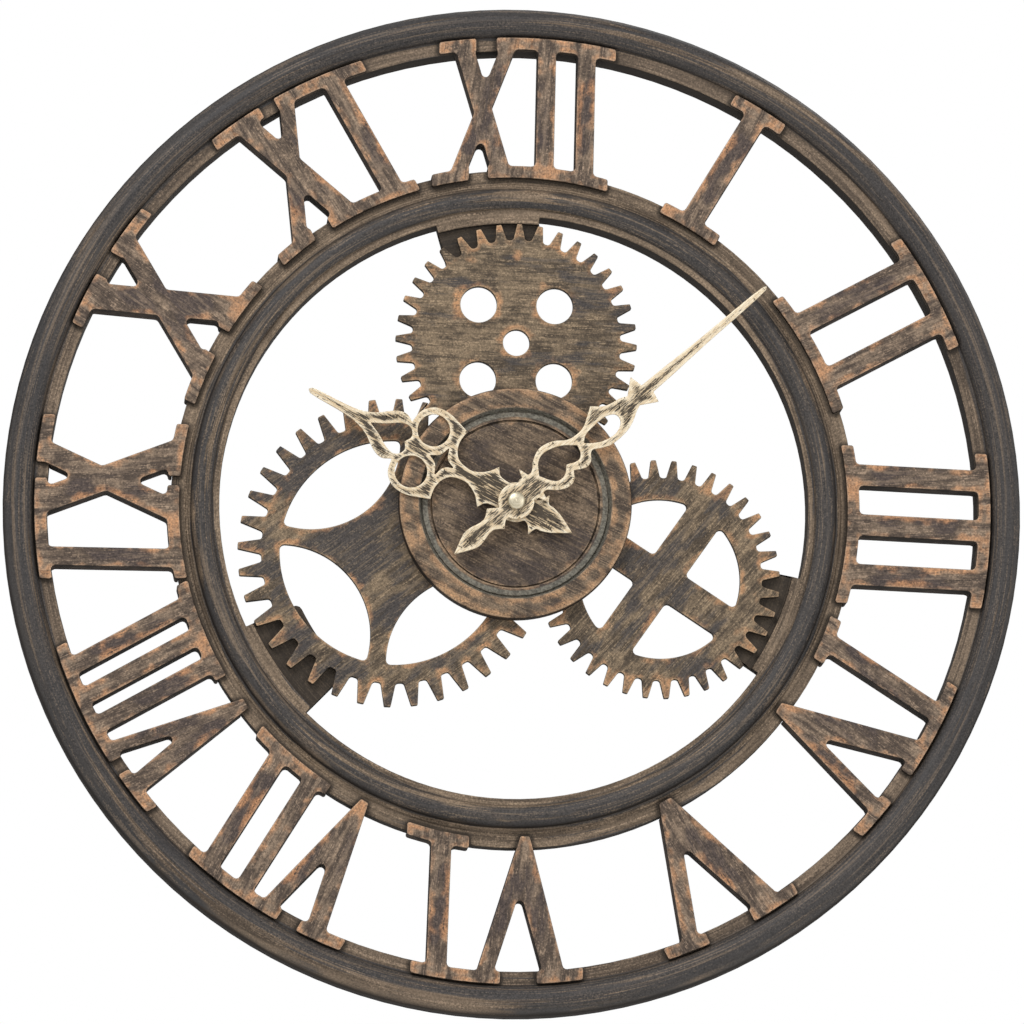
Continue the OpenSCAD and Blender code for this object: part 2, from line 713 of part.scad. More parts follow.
// The dial: a turned disc with a raised ring, a groove between two dark lines and a flat centre
module dial() {
    ring_out_r = dial_r - dial_edge;
    ring_in_r = ring_out_r - dial_ring_w;
    groove_out_r = ring_in_r - 2 * dial_line_w;
    groove_in_r = groove_out_r - dial_groove_w;
    centre_r = groove_in_r - dial_line_w;
    color(charcoal) upright() difference() {
        translate([0, 0, gear_front_h]) rotate_extrude($fn = ring_fn)
            polygon([[collar_r + grip_fit, 0], [dial_r, 0], [dial_r, dial_rim_h - dial_edge],
                     [dial_r - dial_edge * (1 - cos(45)), dial_rim_h - dial_edge * (1 - sin(45))],
                     [ring_out_r, dial_rim_h], [ring_in_r, dial_rim_h],
                     [ring_in_r - dial_line_w, dial_groove_h],
                     [ring_in_r - dial_line_w, dial_groove_h - dial_line_depth],
                     [groove_out_r, dial_groove_h - dial_line_depth],
                     [groove_out_r, dial_groove_h], [groove_in_r, dial_groove_h],
                     [groove_in_r, dial_centre_h - dial_line_depth],
                     [centre_r, dial_centre_h - dial_line_depth], [centre_r, dial_centre_h],
                     [collar_r + grip_fit, dial_centre_h]]);
        pin(gear_front_h - over, gear_front_h + gasket_t, gasket_r + gear_gap);
        dial_screw_holes(screw_r + grip_fit);
    }
}

module dial_gasket() {
    color(black_plastic) upright() difference() {
        pin(gear_front_h, gear_front_h + gasket_t, gasket_r);
        pin(gear_front_h - over, gear_front_h + gasket_t + over, collar_r + grip_fit);
    }
}

module fixing_washer() {
    color(brass) upright() difference() {
        pin(dial_centre_front_h, dial_centre_front_h + washer_t, washer_r);
        pin(dial_centre_front_h - over, dial_centre_front_h + washer_t + over, collar_r + grip_fit);
    }
}

module fixing_nut() {
    low = dial_centre_front_h + washer_t;
    color(brass) upright() difference() {
        translate([0, 0, low]) cylinder(h = nut_t, d = nut_flats / cos(30), $fn = 6);
        pin(low - over, low + nut_t + over, collar_r + grip_fit);
    }
}

// The movement. Its back carries the rear cover and the battery, and its front meets the dial.
cover_front_h = case_back_h + case_wall;
wall_back_h = gear_front_h - case_wall;
battery_r = battery_d / 2;
battery_gap = 0.3;
battery_y = -case_half + case_wall + battery_gap + battery_r;
battery_h = wall_back_h - battery_gap - battery_r;
shelf_y = battery_y + battery_r + battery_gap;

// Sizes of the train. Each wheel's place follows from the pitch of the teeth that meet.
clock_pitch = 0.35;
hour_pitch = 0.336;
rotor_pitch = 0.2;
fifth_pitch = 0.25;
third_pitch = 0.3;
cannon_teeth = 12;
minute_wheel_teeth = 36;
minute_pinion_teeth = 10;
hour_wheel_teeth = 40;
rotor_teeth = 12;
fifth_wheel_teeth = 60;
small_pinion_teeth = 8;
fourth_wheel_teeth = 48;
third_wheel_teeth = 64;
centre_wheel_teeth = 60;
third_reach = (small_pinion_teeth + third_wheel_teeth) * third_pitch / 2;
centre_pitch = 2 * third_reach / (small_pinion_teeth + centre_wheel_teeth);
fifth_reach = (small_pinion_teeth + fourth_wheel_teeth) * fifth_pitch / 2;
rotor_reach = (rotor_teeth + fifth_wheel_teeth) * rotor_pitch / 2;
minute_wheel_reach = (cannon_teeth + minute_wheel_teeth) * clock_pitch / 2;
setting_reach = minute_wheel_reach;
third_angle = 60;
fifth_angle = 150;
minute_wheel_angle = -20;
pivot_r = 0.35;
arbor_r = 0.5;
stem_r = 1;
wheel_t = 0.6;
layer_gap = 0.4;
magnet_r = 2.8;
magnet_t = 1.4;
air_gap = 0.6;
boss_r = 1.5;
bridge_t = 0.7;

// Heights of the layers, counted from the cover's inside towards the viewer
fifth_h = cover_front_h + layer_gap;
fourth_h = fifth_h + wheel_t + layer_gap;
third_h = fourth_h + wheel_t + layer_gap;
bridge_h = third_h + wheel_t + layer_gap;
bridge_top_h = bridge_h + bridge_t;
centre_h = bridge_top_h + layer_gap;
centre_top_h = centre_h + wheel_t;
cannon_h = wall_back_h - 3 * case_wall;
minute_wheel_h = cannon_h + layer_gap;
hour_wheel_h = cannon_h + 1.5 * case_wall;
hour_wheel_t = 0.7 * case_wall;

module at_third() { out_at(third_angle, third_reach) children(); }
module at_fifth() { out_at(fifth_angle, fifth_reach) children(); }
module at_rotor() { out_at(fifth_angle, fifth_reach + rotor_reach) children(); }
module at_minute_wheel() { out_at(minute_wheel_angle, minute_wheel_reach) children(); }
module at_setting() { out_at(minute_wheel_angle, minute_wheel_reach + setting_reach) children(); }

// Fine teeth with plenty of play. The sizes are shares of the pitch, in thousandths.
tooth_out_share = 700;
tooth_in_share = 1150;
fine_tip_share = 200;
fine_base_share = 460;
module fine_teeth(pitch, teeth, phase) {
    r = teeth * pitch / 2;
    tip_r = r + pitch * tooth_out_share / full_share;
    root_r = r - pitch * tooth_in_share / full_share;
    turn = 360 / teeth;
    tip = turn * fine_tip_share / full_share / 2;
    base = turn * fine_base_share / full_share / 2;
    polygon([for (i = [0:teeth - 1])
        let (a = phase + i * turn)
        each [on_circle(root_r, a - base), on_circle(tip_r, a - tip),
              on_circle(tip_r, a + tip), on_circle(root_r, a + base)]]);
}
// A wheel that meets a tooth pointing at it from direction "from" shows it a valley
function valley_phase(from, teeth) = from + 180 + 180 / teeth;

module rotor() {
    color(steel) upright() at_rotor() rotate(-fifth_angle) {
        slab(cover_front_h + grip_fit, fourth_h) fine_teeth(rotor_pitch, rotor_teeth, fifth_angle + 180);
        pin(fourth_h, bridge_h - magnet_t - layer_gap, arbor_r);
        pin(bridge_h - magnet_t - layer_gap, bridge_h - layer_gap, magnet_r);
        pin(bridge_h - layer_gap, bridge_top_h, pivot_r);
        pin(case_back_h + case_wall / 2, cover_front_h + grip_fit, pivot_r);
    }
}

module fifth_wheel() {
    color(white_plastic) upright() at_fifth() rotate(-fifth_angle) {
        slab(fifth_h, fifth_h + wheel_t)
            fine_teeth(rotor_pitch, fifth_wheel_teeth, valley_phase(fifth_angle + 180, fifth_wheel_teeth));
        slab(fifth_h + wheel_t, third_h)
            fine_teeth(fifth_pitch, small_pinion_teeth, fifth_angle + 180);
        pin(third_h, bridge_h - layer_gap / 2, arbor_r);
        pin(bridge_h - layer_gap / 2, bridge_top_h, pivot_r);
        pin(cover_front_h + grip_fit, fifth_h, arbor_r);
        pin(case_back_h + case_wall / 2, cover_front_h + grip_fit, pivot_r);
    }
}

module fourth_wheel() {
    color(white_plastic) upright() {
        slab(fourth_h, fourth_h + wheel_t)
            fine_teeth(fifth_pitch, fourth_wheel_teeth, valley_phase(fifth_angle + 180, fourth_wheel_teeth));
        slab(fourth_h + wheel_t, bridge_h - layer_gap / 2)
            fine_teeth(third_pitch, small_pinion_teeth, third_angle);
        pin(bridge_h - layer_gap / 2, cannon_h - layer_gap, arbor_r);
        pin(case_back_h + case_wall / 2, fourth_h, pivot_r);
    }
}

module third_wheel() {
    color(white_plastic) upright() at_third() rotate(-third_angle) {
        slab(third_h, third_h + wheel_t)
            fine_teeth(third_pitch, third_wheel_teeth, valley_phase(third_angle, third_wheel_teeth));
        pin(third_h + wheel_t, centre_h - layer_gap / 2, arbor_r);
        slab(centre_h - layer_gap / 2, centre_top_h + layer_gap)
            fine_teeth(centre_pitch, small_pinion_teeth, third_angle + 180);
        pin(centre_top_h + layer_gap, centre_top_h + 3 * layer_gap + case_wall / 2, pivot_r);
        pin(cover_front_h + grip_fit, third_h, arbor_r);
        pin(case_back_h + case_wall / 2, cover_front_h + grip_fit, pivot_r);
    }
}

// The centre wheel drives the minute arbor through a grip that slips when the hands are set
clutch_r = minute_arbor_r - 0.45 * minute_arbor_r;
module centre_wheel() {
    color(white_plastic) upright() difference() {
        union() {
            slab(centre_h, centre_top_h)
                fine_teeth(centre_pitch, centre_wheel_teeth,
                           valley_phase(third_angle + 180, centre_wheel_teeth));
            pin(centre_top_h, cannon_h - layer_gap / 2, clutch_r);
        }
        pin(centre_h - over, cannon_h, arbor_r + running_fit);
    }
}

module minute_arbor() {
    shoulder_r = minute_arbor_r - 0.2 * minute_arbor_r;
    color(brass) upright() difference() {
        union() {
            pin(centre_top_h + layer_gap / 2, cannon_h, minute_arbor_r);
            slab(cannon_h, hour_wheel_h - layer_gap) fine_teeth(clock_pitch, cannon_teeth, minute_wheel_angle);
            pin(hour_wheel_h - layer_gap, minute_hand_h, minute_arbor_r);
            pin(minute_hand_h, minute_hand_h + hand_t + hand_nut_h / 2, shoulder_r);
        }
        pin(centre_top_h - over, cannon_h, clutch_r + running_fit);
    }
}

module minute_wheel() {
    pinion_h = minute_wheel_h + 1.4 * wheel_t;
    color(white_plastic) upright() at_minute_wheel() rotate(-minute_wheel_angle) difference() {
        union() {
            slab(minute_wheel_h, pinion_h)
                fine_teeth(clock_pitch, minute_wheel_teeth,
                           valley_phase(minute_wheel_angle, minute_wheel_teeth));
            slab(pinion_h, wall_back_h - layer_gap)
                fine_teeth(hour_pitch, minute_pinion_teeth, minute_wheel_angle + 180);
        }
        pin(minute_wheel_h - over, wall_back_h, arbor_r + running_fit);
    }
}

module hour_wheel() {
    shoulder_r = hour_tube_r - 0.15 * hour_tube_r;
    color(white_plastic) upright() difference() {
        union() {
            slab(hour_wheel_h, hour_wheel_h + hour_wheel_t)
                fine_teeth(hour_pitch, hour_wheel_teeth,
                           valley_phase(minute_wheel_angle + 180, hour_wheel_teeth));
            pin(hour_wheel_h, hour_hand_h, hour_tube_r);
            pin(hour_hand_h, hour_hand_h + hand_t, shoulder_r);
        }
        pin(hour_wheel_h - over, hour_hand_h + hand_t + over, minute_arbor_r + running_fit);
    }
}

module setting_knob() {
    low = case_back_h - layer_gap - knob_t;
    ribs = 24;
    rib_r = knob_r / 12;
    color(white_plastic) upright() at_setting() rotate(-minute_wheel_angle) {
        slab(low, low + knob_t) difference() {
            circle(r = knob_r);
            for (i = [0:ribs - 1])
                out_at(i * 360 / ribs, knob_r) circle(r = rib_r, $fn = 8);
        }
        pin(low + knob_t, cannon_h, stem_r);
        slab(cannon_h, hour_wheel_h - layer_gap)
            fine_teeth(clock_pitch, cannon_teeth,
                       minute_wheel_angle + 180 + 180 / cannon_teeth * (minute_wheel_teeth % 2));
        pin(hour_wheel_h - layer_gap, wall_back_h + case_wall / 4, stem_r);
    }
}

// Posts that stand on the case's inside and carry the bridge, the stator and the circuit board
function case_at(x_share, y_share) = [case_half * x_share / full_share, case_half * y_share / full_share];
BRIDGE_POSTS_SHARES = [[-555, -105], [-555, 465], [105, 570]];
STATOR_POSTS_SHARES = [[-645, 770], [-645, -260]];
BOARD_POSTS_SHARES = [[790, 110], [790, 790]];
bridge_post_r = 1.3;
stator_h = third_h - layer_gap / 2;
stator_t = 0.6;
board_t = 1;
board_h = centre_top_h + layer_gap + board_t;
module posts(places, low) {
    for (p = places)
        translate(case_at(p[0], p[1])) pin(low, wall_back_h + case_wall / 2, bridge_post_r);
}

module front_case() {
    collar_inner = hour_tube_r + running_fit;
    third_post_h = centre_top_h + 2 * layer_gap;
    color(black_plastic) upright() difference() {
        union() {
            difference() {
                slab(cover_front_h, gear_front_h) square(case_w, center = true);
                slab(cover_front_h - over, wall_back_h) difference() {
                    square(case_w - 2 * case_wall, center = true);
                    translate([-case_half, shelf_y]) square([case_w, case_wall / 2]);
                }
            }
            pin(wall_back_h, collar_top_h, collar_r);
            posts(BRIDGE_POSTS_SHARES, bridge_top_h);
            posts(STATOR_POSTS_SHARES, stator_h + stator_t);
            posts(BOARD_POSTS_SHARES, board_h + board_t);
            at_third() pin(third_post_h, wall_back_h + case_wall / 2, boss_r);
            at_minute_wheel() pin(minute_wheel_h, wall_back_h + case_wall / 2, arbor_r);
        }
        pin(hour_wheel_h, collar_top_h + over, collar_inner);
        at_third() pin(third_post_h - over, third_post_h + case_wall, pivot_r + running_fit);
        at_setting() pin(wall_back_h - over, wall_back_h + case_wall / 2, stem_r + running_fit);
    }
}

module rear_cover() {
    color(black_plastic) upright() difference() {
        slab(case_back_h, cover_front_h)
            translate([-case_half, shelf_y]) square([case_w, case_half - shelf_y]);
        at_setting() pin(case_back_h - over, cover_front_h + over, stem_r + running_fit);
        pin(case_back_h + case_wall / 2 - over / 4, cover_front_h + over, pivot_r + running_fit);
        for (k = [0:2]) {
            reach = [third_reach, fifth_reach, fifth_reach + rotor_reach][k];
            out_at([third_angle, fifth_angle, fifth_angle][k], reach)
                pin(case_back_h + case_wall / 2 - over / 4, cover_front_h + over, pivot_r + running_fit);
        }
    }
}

module train_bridge() {
    color(white_plastic) upright() difference() {
        slab(bridge_h, bridge_top_h) hull() {
            for (p = BRIDGE_POSTS_SHARES)
                translate(case_at(p[0], p[1])) circle(r = 1.5 * bridge_post_r, $fn = small_fn);
            circle(r = 2 * bridge_post_r, $fn = small_fn);
            at_third() circle(r = 2 * bridge_post_r, $fn = small_fn);
        }
        pin(bridge_h - over, bridge_top_h + over, arbor_r + running_fit);
        at_third() pin(bridge_h - over, bridge_top_h + over, arbor_r + running_fit);
        at_fifth() pin(bridge_h - over, bridge_top_h + over, pivot_r + running_fit);
        at_rotor() pin(bridge_h - over, bridge_top_h + over, pivot_r + running_fit);
    }
}

board_shares = [660, 40, 900, 880];
module circuit_board() {
    low = case_at(board_shares[0], board_shares[1]);
    high = case_at(board_shares[2], board_shares[3]);
    middle = (low + high) / 2;
    color("#2f5d3a") upright() slab(board_h, board_h + board_t)
        translate(low) square(high - low);
    color(black_plastic) upright() slab(board_h - board_t, board_h)
        translate(middle) square((high[0] - low[0]) / 2, center = true);
}

crystal_r = 1;
crystal_l = 6;
module quartz_crystal() {
    place = case_at((board_shares[0] + board_shares[2]) / 2, board_shares[3]);
    color(steel) upright() translate([place[0], place[1] - crystal_l - board_t, board_h - crystal_r])
        rotate([-90, 0, 0]) cylinder(h = crystal_l, r = crystal_r, $fn = small_fn);
}

stator_end_shares = [-770, 790, -290];
coil_r = 2.5;
coil_core_t = 0.6;
stator_foot_r = 1.4 * bridge_post_r;
module stator() {
    leg_x = case_half * stator_end_shares[0] / full_share;
    post = case_at(STATOR_POSTS_SHARES[0][0], STATOR_POSTS_SHARES[0][1]);
    color(steel) upright() difference() {
        slab(stator_h, stator_h + stator_t) {
            at_rotor() circle(r = magnet_r + 1.5 * stator_foot_r);
            for (k = [0:1]) {
                end_y = case_half * stator_end_shares[k + 1] / full_share;
                post_y = case_at(0, STATOR_POSTS_SHARES[k][1])[1];
                hull() {
                    translate([leg_x, end_y]) circle(r = stator_foot_r, $fn = small_fn);
                    translate([post[0], post_y]) circle(r = stator_foot_r, $fn = small_fn);
                }
                hull() {
                    translate([post[0], post_y]) circle(r = stator_foot_r, $fn = small_fn);
                    at_rotor() circle(r = magnet_r, $fn = small_fn);
                }
            }
        }
        at_rotor() pin(stator_h - over, stator_h + stator_t + over, magnet_r + air_gap);
    }
}

module coil() {
    leg_x = case_half * stator_end_shares[0] / full_share;
    low_y = case_half * stator_end_shares[2] / full_share;
    high_y = case_half * stator_end_shares[1] / full_share;
    middle_h = stator_h + stator_t + coil_core_t / 2;
    flange_t = 2 * coil_core_t;
    end_room = stator_foot_r + 2 * flange_t;
    winding_l = high_y - low_y - 2 * end_room;
    color("#b5672e") upright() translate([leg_x, low_y + end_room, middle_h]) rotate([-90, 0, 0])
        union() {
            cylinder(h = winding_l, r = coil_r - coil_core_t / 2, $fn = small_fn);
            for (z = [0, winding_l - flange_t])
                translate([0, 0, z]) cylinder(h = flange_t, r = coil_r, $fn = small_fn);
        }
    color(steel) upright() slab(stator_h + stator_t, stator_h + stator_t + coil_core_t)
        translate([leg_x - coil_core_t, low_y]) square([2 * coil_core_t, high_y - low_y]);
}

module battery() {
    tip_r = battery_r / 2.6;
    color("#b9b4a8") upright() translate([-battery_can_l / 2 - battery_tip_l / 2, battery_y, battery_h])
        rotate([0, 90, 0]) rotate_extrude($fn = small_fn)
            polygon([[0, 0], [battery_r - battery_gap, 0], [battery_r, battery_gap],
                     [battery_r, battery_can_l - battery_gap], [battery_r - battery_gap, battery_can_l],
                     [tip_r, battery_can_l], [tip_r, battery_can_l + battery_tip_l],
                     [0, battery_can_l + battery_tip_l]]);
}

contact_t = 0.4;
contact_w = 8;
battery_half_l = (battery_can_l + battery_tip_l) / 2;
module contact(side) {
    wall_x = case_half - case_wall;
    color(brass) upright() {
        translate([side * (wall_x - contact_t / 2), battery_y, battery_h])
            cube([contact_t, contact_w, contact_w], center = true);
        translate([side * (wall_x + battery_half_l) / 2, battery_y, battery_h]) rotate([0, 90, 0])
            cylinder(h = wall_x - battery_half_l, r1 = side > 0 ? contact_w / 6 : contact_w / 3,
                     r2 = side > 0 ? contact_w / 3 : contact_w / 6, center = true, $fn = small_fn);
    }
}
module positive_contact() { contact(1); }
module negative_contact() { contact(-1); }

// A smooth closed line through points given as shares; a third value marks a sharp corner.
// Each stretch leaves and meets its points along the line between their neighbours.
curve_steps = 4;
function flat(p) = [p[0], p[1]];
function unit(v) = v / norm(v);
function heading(list, i, leaving) =
    let (n = len(list), here = list[i % n], before = flat(list[(i + n - 1) % n]),
         after = flat(list[(i + 1) % n]))
    len(here) < 3 ? unit(after - before) : leaving ? unit(after - flat(here)) : unit(flat(here) - before);
function smooth(list) =
    [for (i = [0:len(list) - 1])
        let (a = flat(list[i]), b = flat(list[(i + 1) % len(list)]), l = norm(b - a),
             u = heading(list, i, true) * l, v = heading(list, i + 1, false) * l)
        for (s = [0:curve_steps - 1])
            let (t = s / curve_steps)
            a * (2 * t * t * t - 3 * t * t + 1) + u * (t * t * t - 2 * t * t + t)
            + b * (3 * t * t - 2 * t * t * t) + v * (t * t * t - t * t)];
// A line for both sides of a symmetrical outline, from its points on the right, from bottom to top
function mirrored(right) =
    concat(right, [for (i = [len(right) - 2:-1:1])
        len(right[i]) < 3 ? [-right[i][0], right[i][1]] : [-right[i][0], right[i][1], 1]]);

// Shares of the minute hand's length, pointing up
minute_tail_shares = [[0, -246, 1], [26, -190], [30, -165], [21, -111], [40, -81, 1], [22, -57], [30, 0, 1]];
minute_hub_share = 54;
minute_bar_shares = [[-69, 70, 1], [-30, 56], [0, 52], [30, 56], [63, 70, 1], [30, 80], [0, 84], [-30, 80]];
minute_outline_shares = [
    [-38, 40], [-36, 90], [-60, 120], [-75, 156], [-66, 200], [-39, 240], [-34, 275], [-38, 300],
    [-50, 322], [-72, 357, 1], [-48, 384], [-39, 405], [-32, 440], [-22, 462, 1], [-60, 507, 1],
    [-19, 516, 1], [-17, 600], [-12, 750], [-10, 900], [-6, 990], [0, 1000, 1], [6, 990], [10, 900],
    [12, 750], [17, 600], [18, 530, 1], [51, 522, 1], [22, 472, 1], [30, 453], [48, 420], [57, 385],
    [57, 330], [44, 298], [32, 272], [54, 250], [60, 228], [42, 192, 1], [66, 172], [69, 144],
    [52, 112], [33, 90], [30, 40],
];
minute_lower_hole_shares = [
    [-12, 102, 1], [-46, 128], [-56, 160], [-40, 210], [-8, 250, 1], [18, 240], [28, 222],
    [15, 187, 1], [36, 160], [32, 130],
];
minute_upper_hole_shares = [
    [0, 269, 1], [-16, 290], [-21, 342, 1], [-19, 372], [-6, 396], [12, 400], [30, 387], [40, 358],
    [33, 318], [16, 288],
];

module minute_hand() {
    shoulder_r = minute_arbor_r - 0.2 * minute_arbor_r;
    scale_up = minute_reach / full_share;
    color("#3a3631") upright() difference() {
        slab(minute_hand_h, minute_hand_h + hand_t) rotate(-minute_hand_angle)
        eased(hand_fillet, hand_fillet / 2) difference() {
            union() {
                polygon(smooth(mirrored(minute_tail_shares)) * scale_up);
                polygon(smooth(minute_bar_shares) * scale_up);
                polygon(smooth(minute_outline_shares) * scale_up);
                circle(r = minute_hub_share * scale_up, $fn = small_fn);
            }
            polygon(smooth(minute_lower_hole_shares) * scale_up);
            polygon(smooth(minute_upper_hole_shares) * scale_up);
        }
        pin(minute_hand_h - over, minute_hand_h + hand_t + over, shoulder_r + grip_fit);
    }
}

// Shares of the hour hand's length, pointing up
hour_outline_shares = [
    [0, -272, 1], [42, -195], [57, -150], [60, -128], [96, -111, 1], [58, -86], [50, -50, 1],
    [60, 60, 1], [60, 81], [68, 112], [98, 133, 1], [56, 168], [30, 215], [28, 250], [42, 296],
    [76, 322], [118, 330], [165, 323, 1], [180, 366], [195, 412], [199, 451], [188, 497], [150, 536],
    [91, 549, 1], [108, 585], [104, 617], [85, 651], [49, 702], [26, 766], [18, 843], [13, 983], [0, 1000, 1],
];
hour_hub_share = 85;
hour_diamond_shares = [[0, 298, 1], [20, 338], [68, 357, 1], [22, 378], [0, 417, 1]];
hour_heart_shares = [[0, 536, 1], [34, 520], [66, 545], [62, 587], [30, 640], [0, 702, 1]];
hour_eye_shares = [101, 451, 69];

module hour_hand() {
    shoulder_r = hour_tube_r - 0.15 * hour_tube_r;
    scale_up = hour_reach / full_share;
    color("#3a3631") upright() difference() {
        slab(hour_hand_h, hour_hand_h + hand_t) rotate(-hour_hand_angle)
        eased(hand_fillet, hand_fillet / 2) difference() {
            union() {
                polygon(smooth(mirrored(hour_outline_shares)) * scale_up);
                circle(r = hour_hub_share * scale_up, $fn = small_fn);
            }
            polygon(smooth(mirrored(hour_diamond_shares)) * scale_up);
            polygon(smooth(mirrored(hour_heart_shares)) * scale_up);
            for (side = [-1, 1])
                translate([side * hour_eye_shares[0], hour_eye_shares[1]] * scale_up)
                    circle(r = hour_eye_shares[2] * scale_up, $fn = small_fn);
        }
        pin(hour_hand_h - over, hour_hand_h + hand_t + over, shoulder_r + grip_fit);
    }
}

module hand_nut() {
    low = minute_hand_h + hand_t;
    shoulder_r = minute_arbor_r - 0.2 * minute_arbor_r;
    crown = hand_nut_h * 0.45;
    side_h = hand_nut_h - crown;
    steps = 6;
    color(brass) upright() difference() {
        translate([0, 0, low]) rotate_extrude($fn = small_fn)
            polygon(concat([[0, 0], [hand_nut_r - crown / 4, 0], [hand_nut_r, crown / 4]],
                           [for (i = [0:steps])
                               let (a = 90 * i / steps)
                               [hand_nut_r * cos(a), side_h + crown * sin(a)]]));
        pin(low - over, low + hand_nut_h / 2 + layer_gap / 2, shoulder_r + grip_fit);
    }
}

// The hanger plate lies in the outer ring's back behind XII; the clock drops onto the slot above the hole
module hanger_screw_holes(r) {
    for (side = [-1, 1])
        translate([side * hanger_post_x, hanger_y]) pin(-over, hanger_t + numeral_bite, r);
}
module hanger_plate() {
    color(steel) upright() difference() {
        translate([0, hanger_y, 0]) linear_extrude(hanger_t)
            square([hanger_w, hanger_high_y - hanger_low_y], center = true);
        translate([0, hanger_low_y + hanger_rim + hanger_hole_r]) {
            pin(-over, hanger_t + over, hanger_hole_r);
            slab(-over, hanger_t + over) {
                translate([-hanger_slot_r, 0]) square([2 * hanger_slot_r, hanger_slot_l]);
                translate([0, hanger_slot_l]) circle(r = hanger_slot_r, $fn = small_fn);
            }
        }
        for (side = [-1, 1])
            translate([side * hanger_post_x, hanger_y]) {
                pin(-over, hanger_t + over, screw_r + grip_fit);
                translate([0, 0, -grip_fit])
                    cylinder(h = hanger_t, r1 = screw_head_r + grip_fit, r2 = screw_r + grip_fit, $fn = small_fn);
            }
    }
}
module hanger_screws() {
    color(steel) upright() for (side = [-1, 1])
        translate([side * hanger_post_x, hanger_y]) rotate_extrude($fn = small_fn)
            polygon([[0, 0], [screw_head_r, 0], [screw_r, hanger_t - 2 * grip_fit],
                     [screw_r, hanger_t + numeral_bite - screw_r], [0, hanger_t + numeral_bite - grip_fit]]);
}

outer_ring();
inner_ring();
numeral(0);  // numeral_01
numeral(1);  // numeral_02
numeral(2);  // numeral_03
numeral(3);  // numeral_04
numeral(4);  // numeral_05
numeral(5);  // numeral_06
numeral(6);  // numeral_07
numeral(7);  // numeral_08
numeral(8);  // numeral_09
numeral(9);  // numeral_10
numeral(10);  // numeral_11
numeral(11);  // numeral_12
numeral_screws();
top_gear_plate();
left_gear_plate();
right_gear_plate();
gear_screws();
dial();
dial_screws();
dial_gasket();
fixing_washer();
fixing_nut();
front_case();
rear_cover();
train_bridge();
circuit_board();
quartz_crystal();
stator();
coil();
rotor();
fifth_wheel();
fourth_wheel();
third_wheel();
centre_wheel();
minute_arbor();
minute_wheel();
hour_wheel();
setting_knob();
battery();
positive_contact();
negative_contact();
hour_hand();
minute_hand();
hand_nut();
hanger_plate();
hanger_screws();
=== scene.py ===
import math

import bmesh
import bpy
from mathutils import Matrix, Vector
from mathutils.kdtree import KDTree


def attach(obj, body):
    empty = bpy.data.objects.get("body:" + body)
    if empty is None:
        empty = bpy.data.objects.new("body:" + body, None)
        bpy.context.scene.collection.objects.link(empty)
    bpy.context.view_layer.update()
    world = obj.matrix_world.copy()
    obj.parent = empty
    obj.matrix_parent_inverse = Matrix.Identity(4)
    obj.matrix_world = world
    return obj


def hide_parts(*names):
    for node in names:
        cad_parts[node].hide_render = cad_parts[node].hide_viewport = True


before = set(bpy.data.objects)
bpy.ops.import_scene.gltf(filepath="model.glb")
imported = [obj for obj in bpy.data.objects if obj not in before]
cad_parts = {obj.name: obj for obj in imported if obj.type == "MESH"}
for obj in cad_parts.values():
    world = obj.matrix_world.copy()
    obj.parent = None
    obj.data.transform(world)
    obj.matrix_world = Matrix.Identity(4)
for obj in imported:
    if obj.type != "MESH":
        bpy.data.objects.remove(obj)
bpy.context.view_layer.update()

# Camera
# The photograph was taken with a long lens, from a little below the clock and a little to its left.
# The clock hangs slightly askew in it, so the camera is rolled.
CAMERA_LEFT = math.radians(3.2)
CAMERA_BELOW = math.radians(9.0)
CAMERA_ROLL = math.radians(1.65)
CAMERA_FAR = 3.4
CLOCK_D = 0.450
FRAME_PER_CLOCK = 1.0035
CLOCK_MIDDLE = Vector((-0.0007, -0.014, -0.002))

camera = bpy.data.objects.new("camera", bpy.data.cameras.new("camera"))
bpy.context.scene.collection.objects.link(camera)
camera.data.sensor_width = 36
camera.data.lens = camera.data.sensor_width * CAMERA_FAR / (CLOCK_D * FRAME_PER_CLOCK)
camera.data.clip_end = 30
towards = Vector((math.sin(CAMERA_LEFT) * math.cos(CAMERA_BELOW),
                  math.cos(CAMERA_LEFT) * math.cos(CAMERA_BELOW), math.sin(CAMERA_BELOW)))
camera.location = CLOCK_MIDDLE - towards * CAMERA_FAR
camera.rotation_euler = (towards.to_track_quat("-Z", "Y").to_matrix()
                         @ Matrix.Rotation(CAMERA_ROLL, 3, "Z")).to_euler()
bpy.context.scene.camera = camera
bpy.context.scene.view_settings.view_transform = "Standard"

# Outer ring
# A deep moulded ring of painted resin. Dark wax is brushed along the bead and wiped off the flange,
# so the bronze paint shows there, and long streaks follow the ring round.
# Radii and widths of waxed bands are in millimetres, like the streaks, and other sizes in metres.
# This bead runs out to the ring's rim, so its waxed band ends well past it.
OUTER_BEAD_R, PAST_RIM_R = 211.5, 400
OUTER_ROUNDING = 0.0005
RING_CELL = 0.0018
RING_BRUSH_DEPTH = 0.00016


def tint(red, green, blue):
    """A colour given from 0 to 255, as Blender's linear colour."""
    out = []
    for part in (red, green, blue):
        part /= 255
        out.append(part / 12.92 if part <= 0.04045 else ((part + 0.055) / 1.055) ** 2.4)
    return (*out, 1)


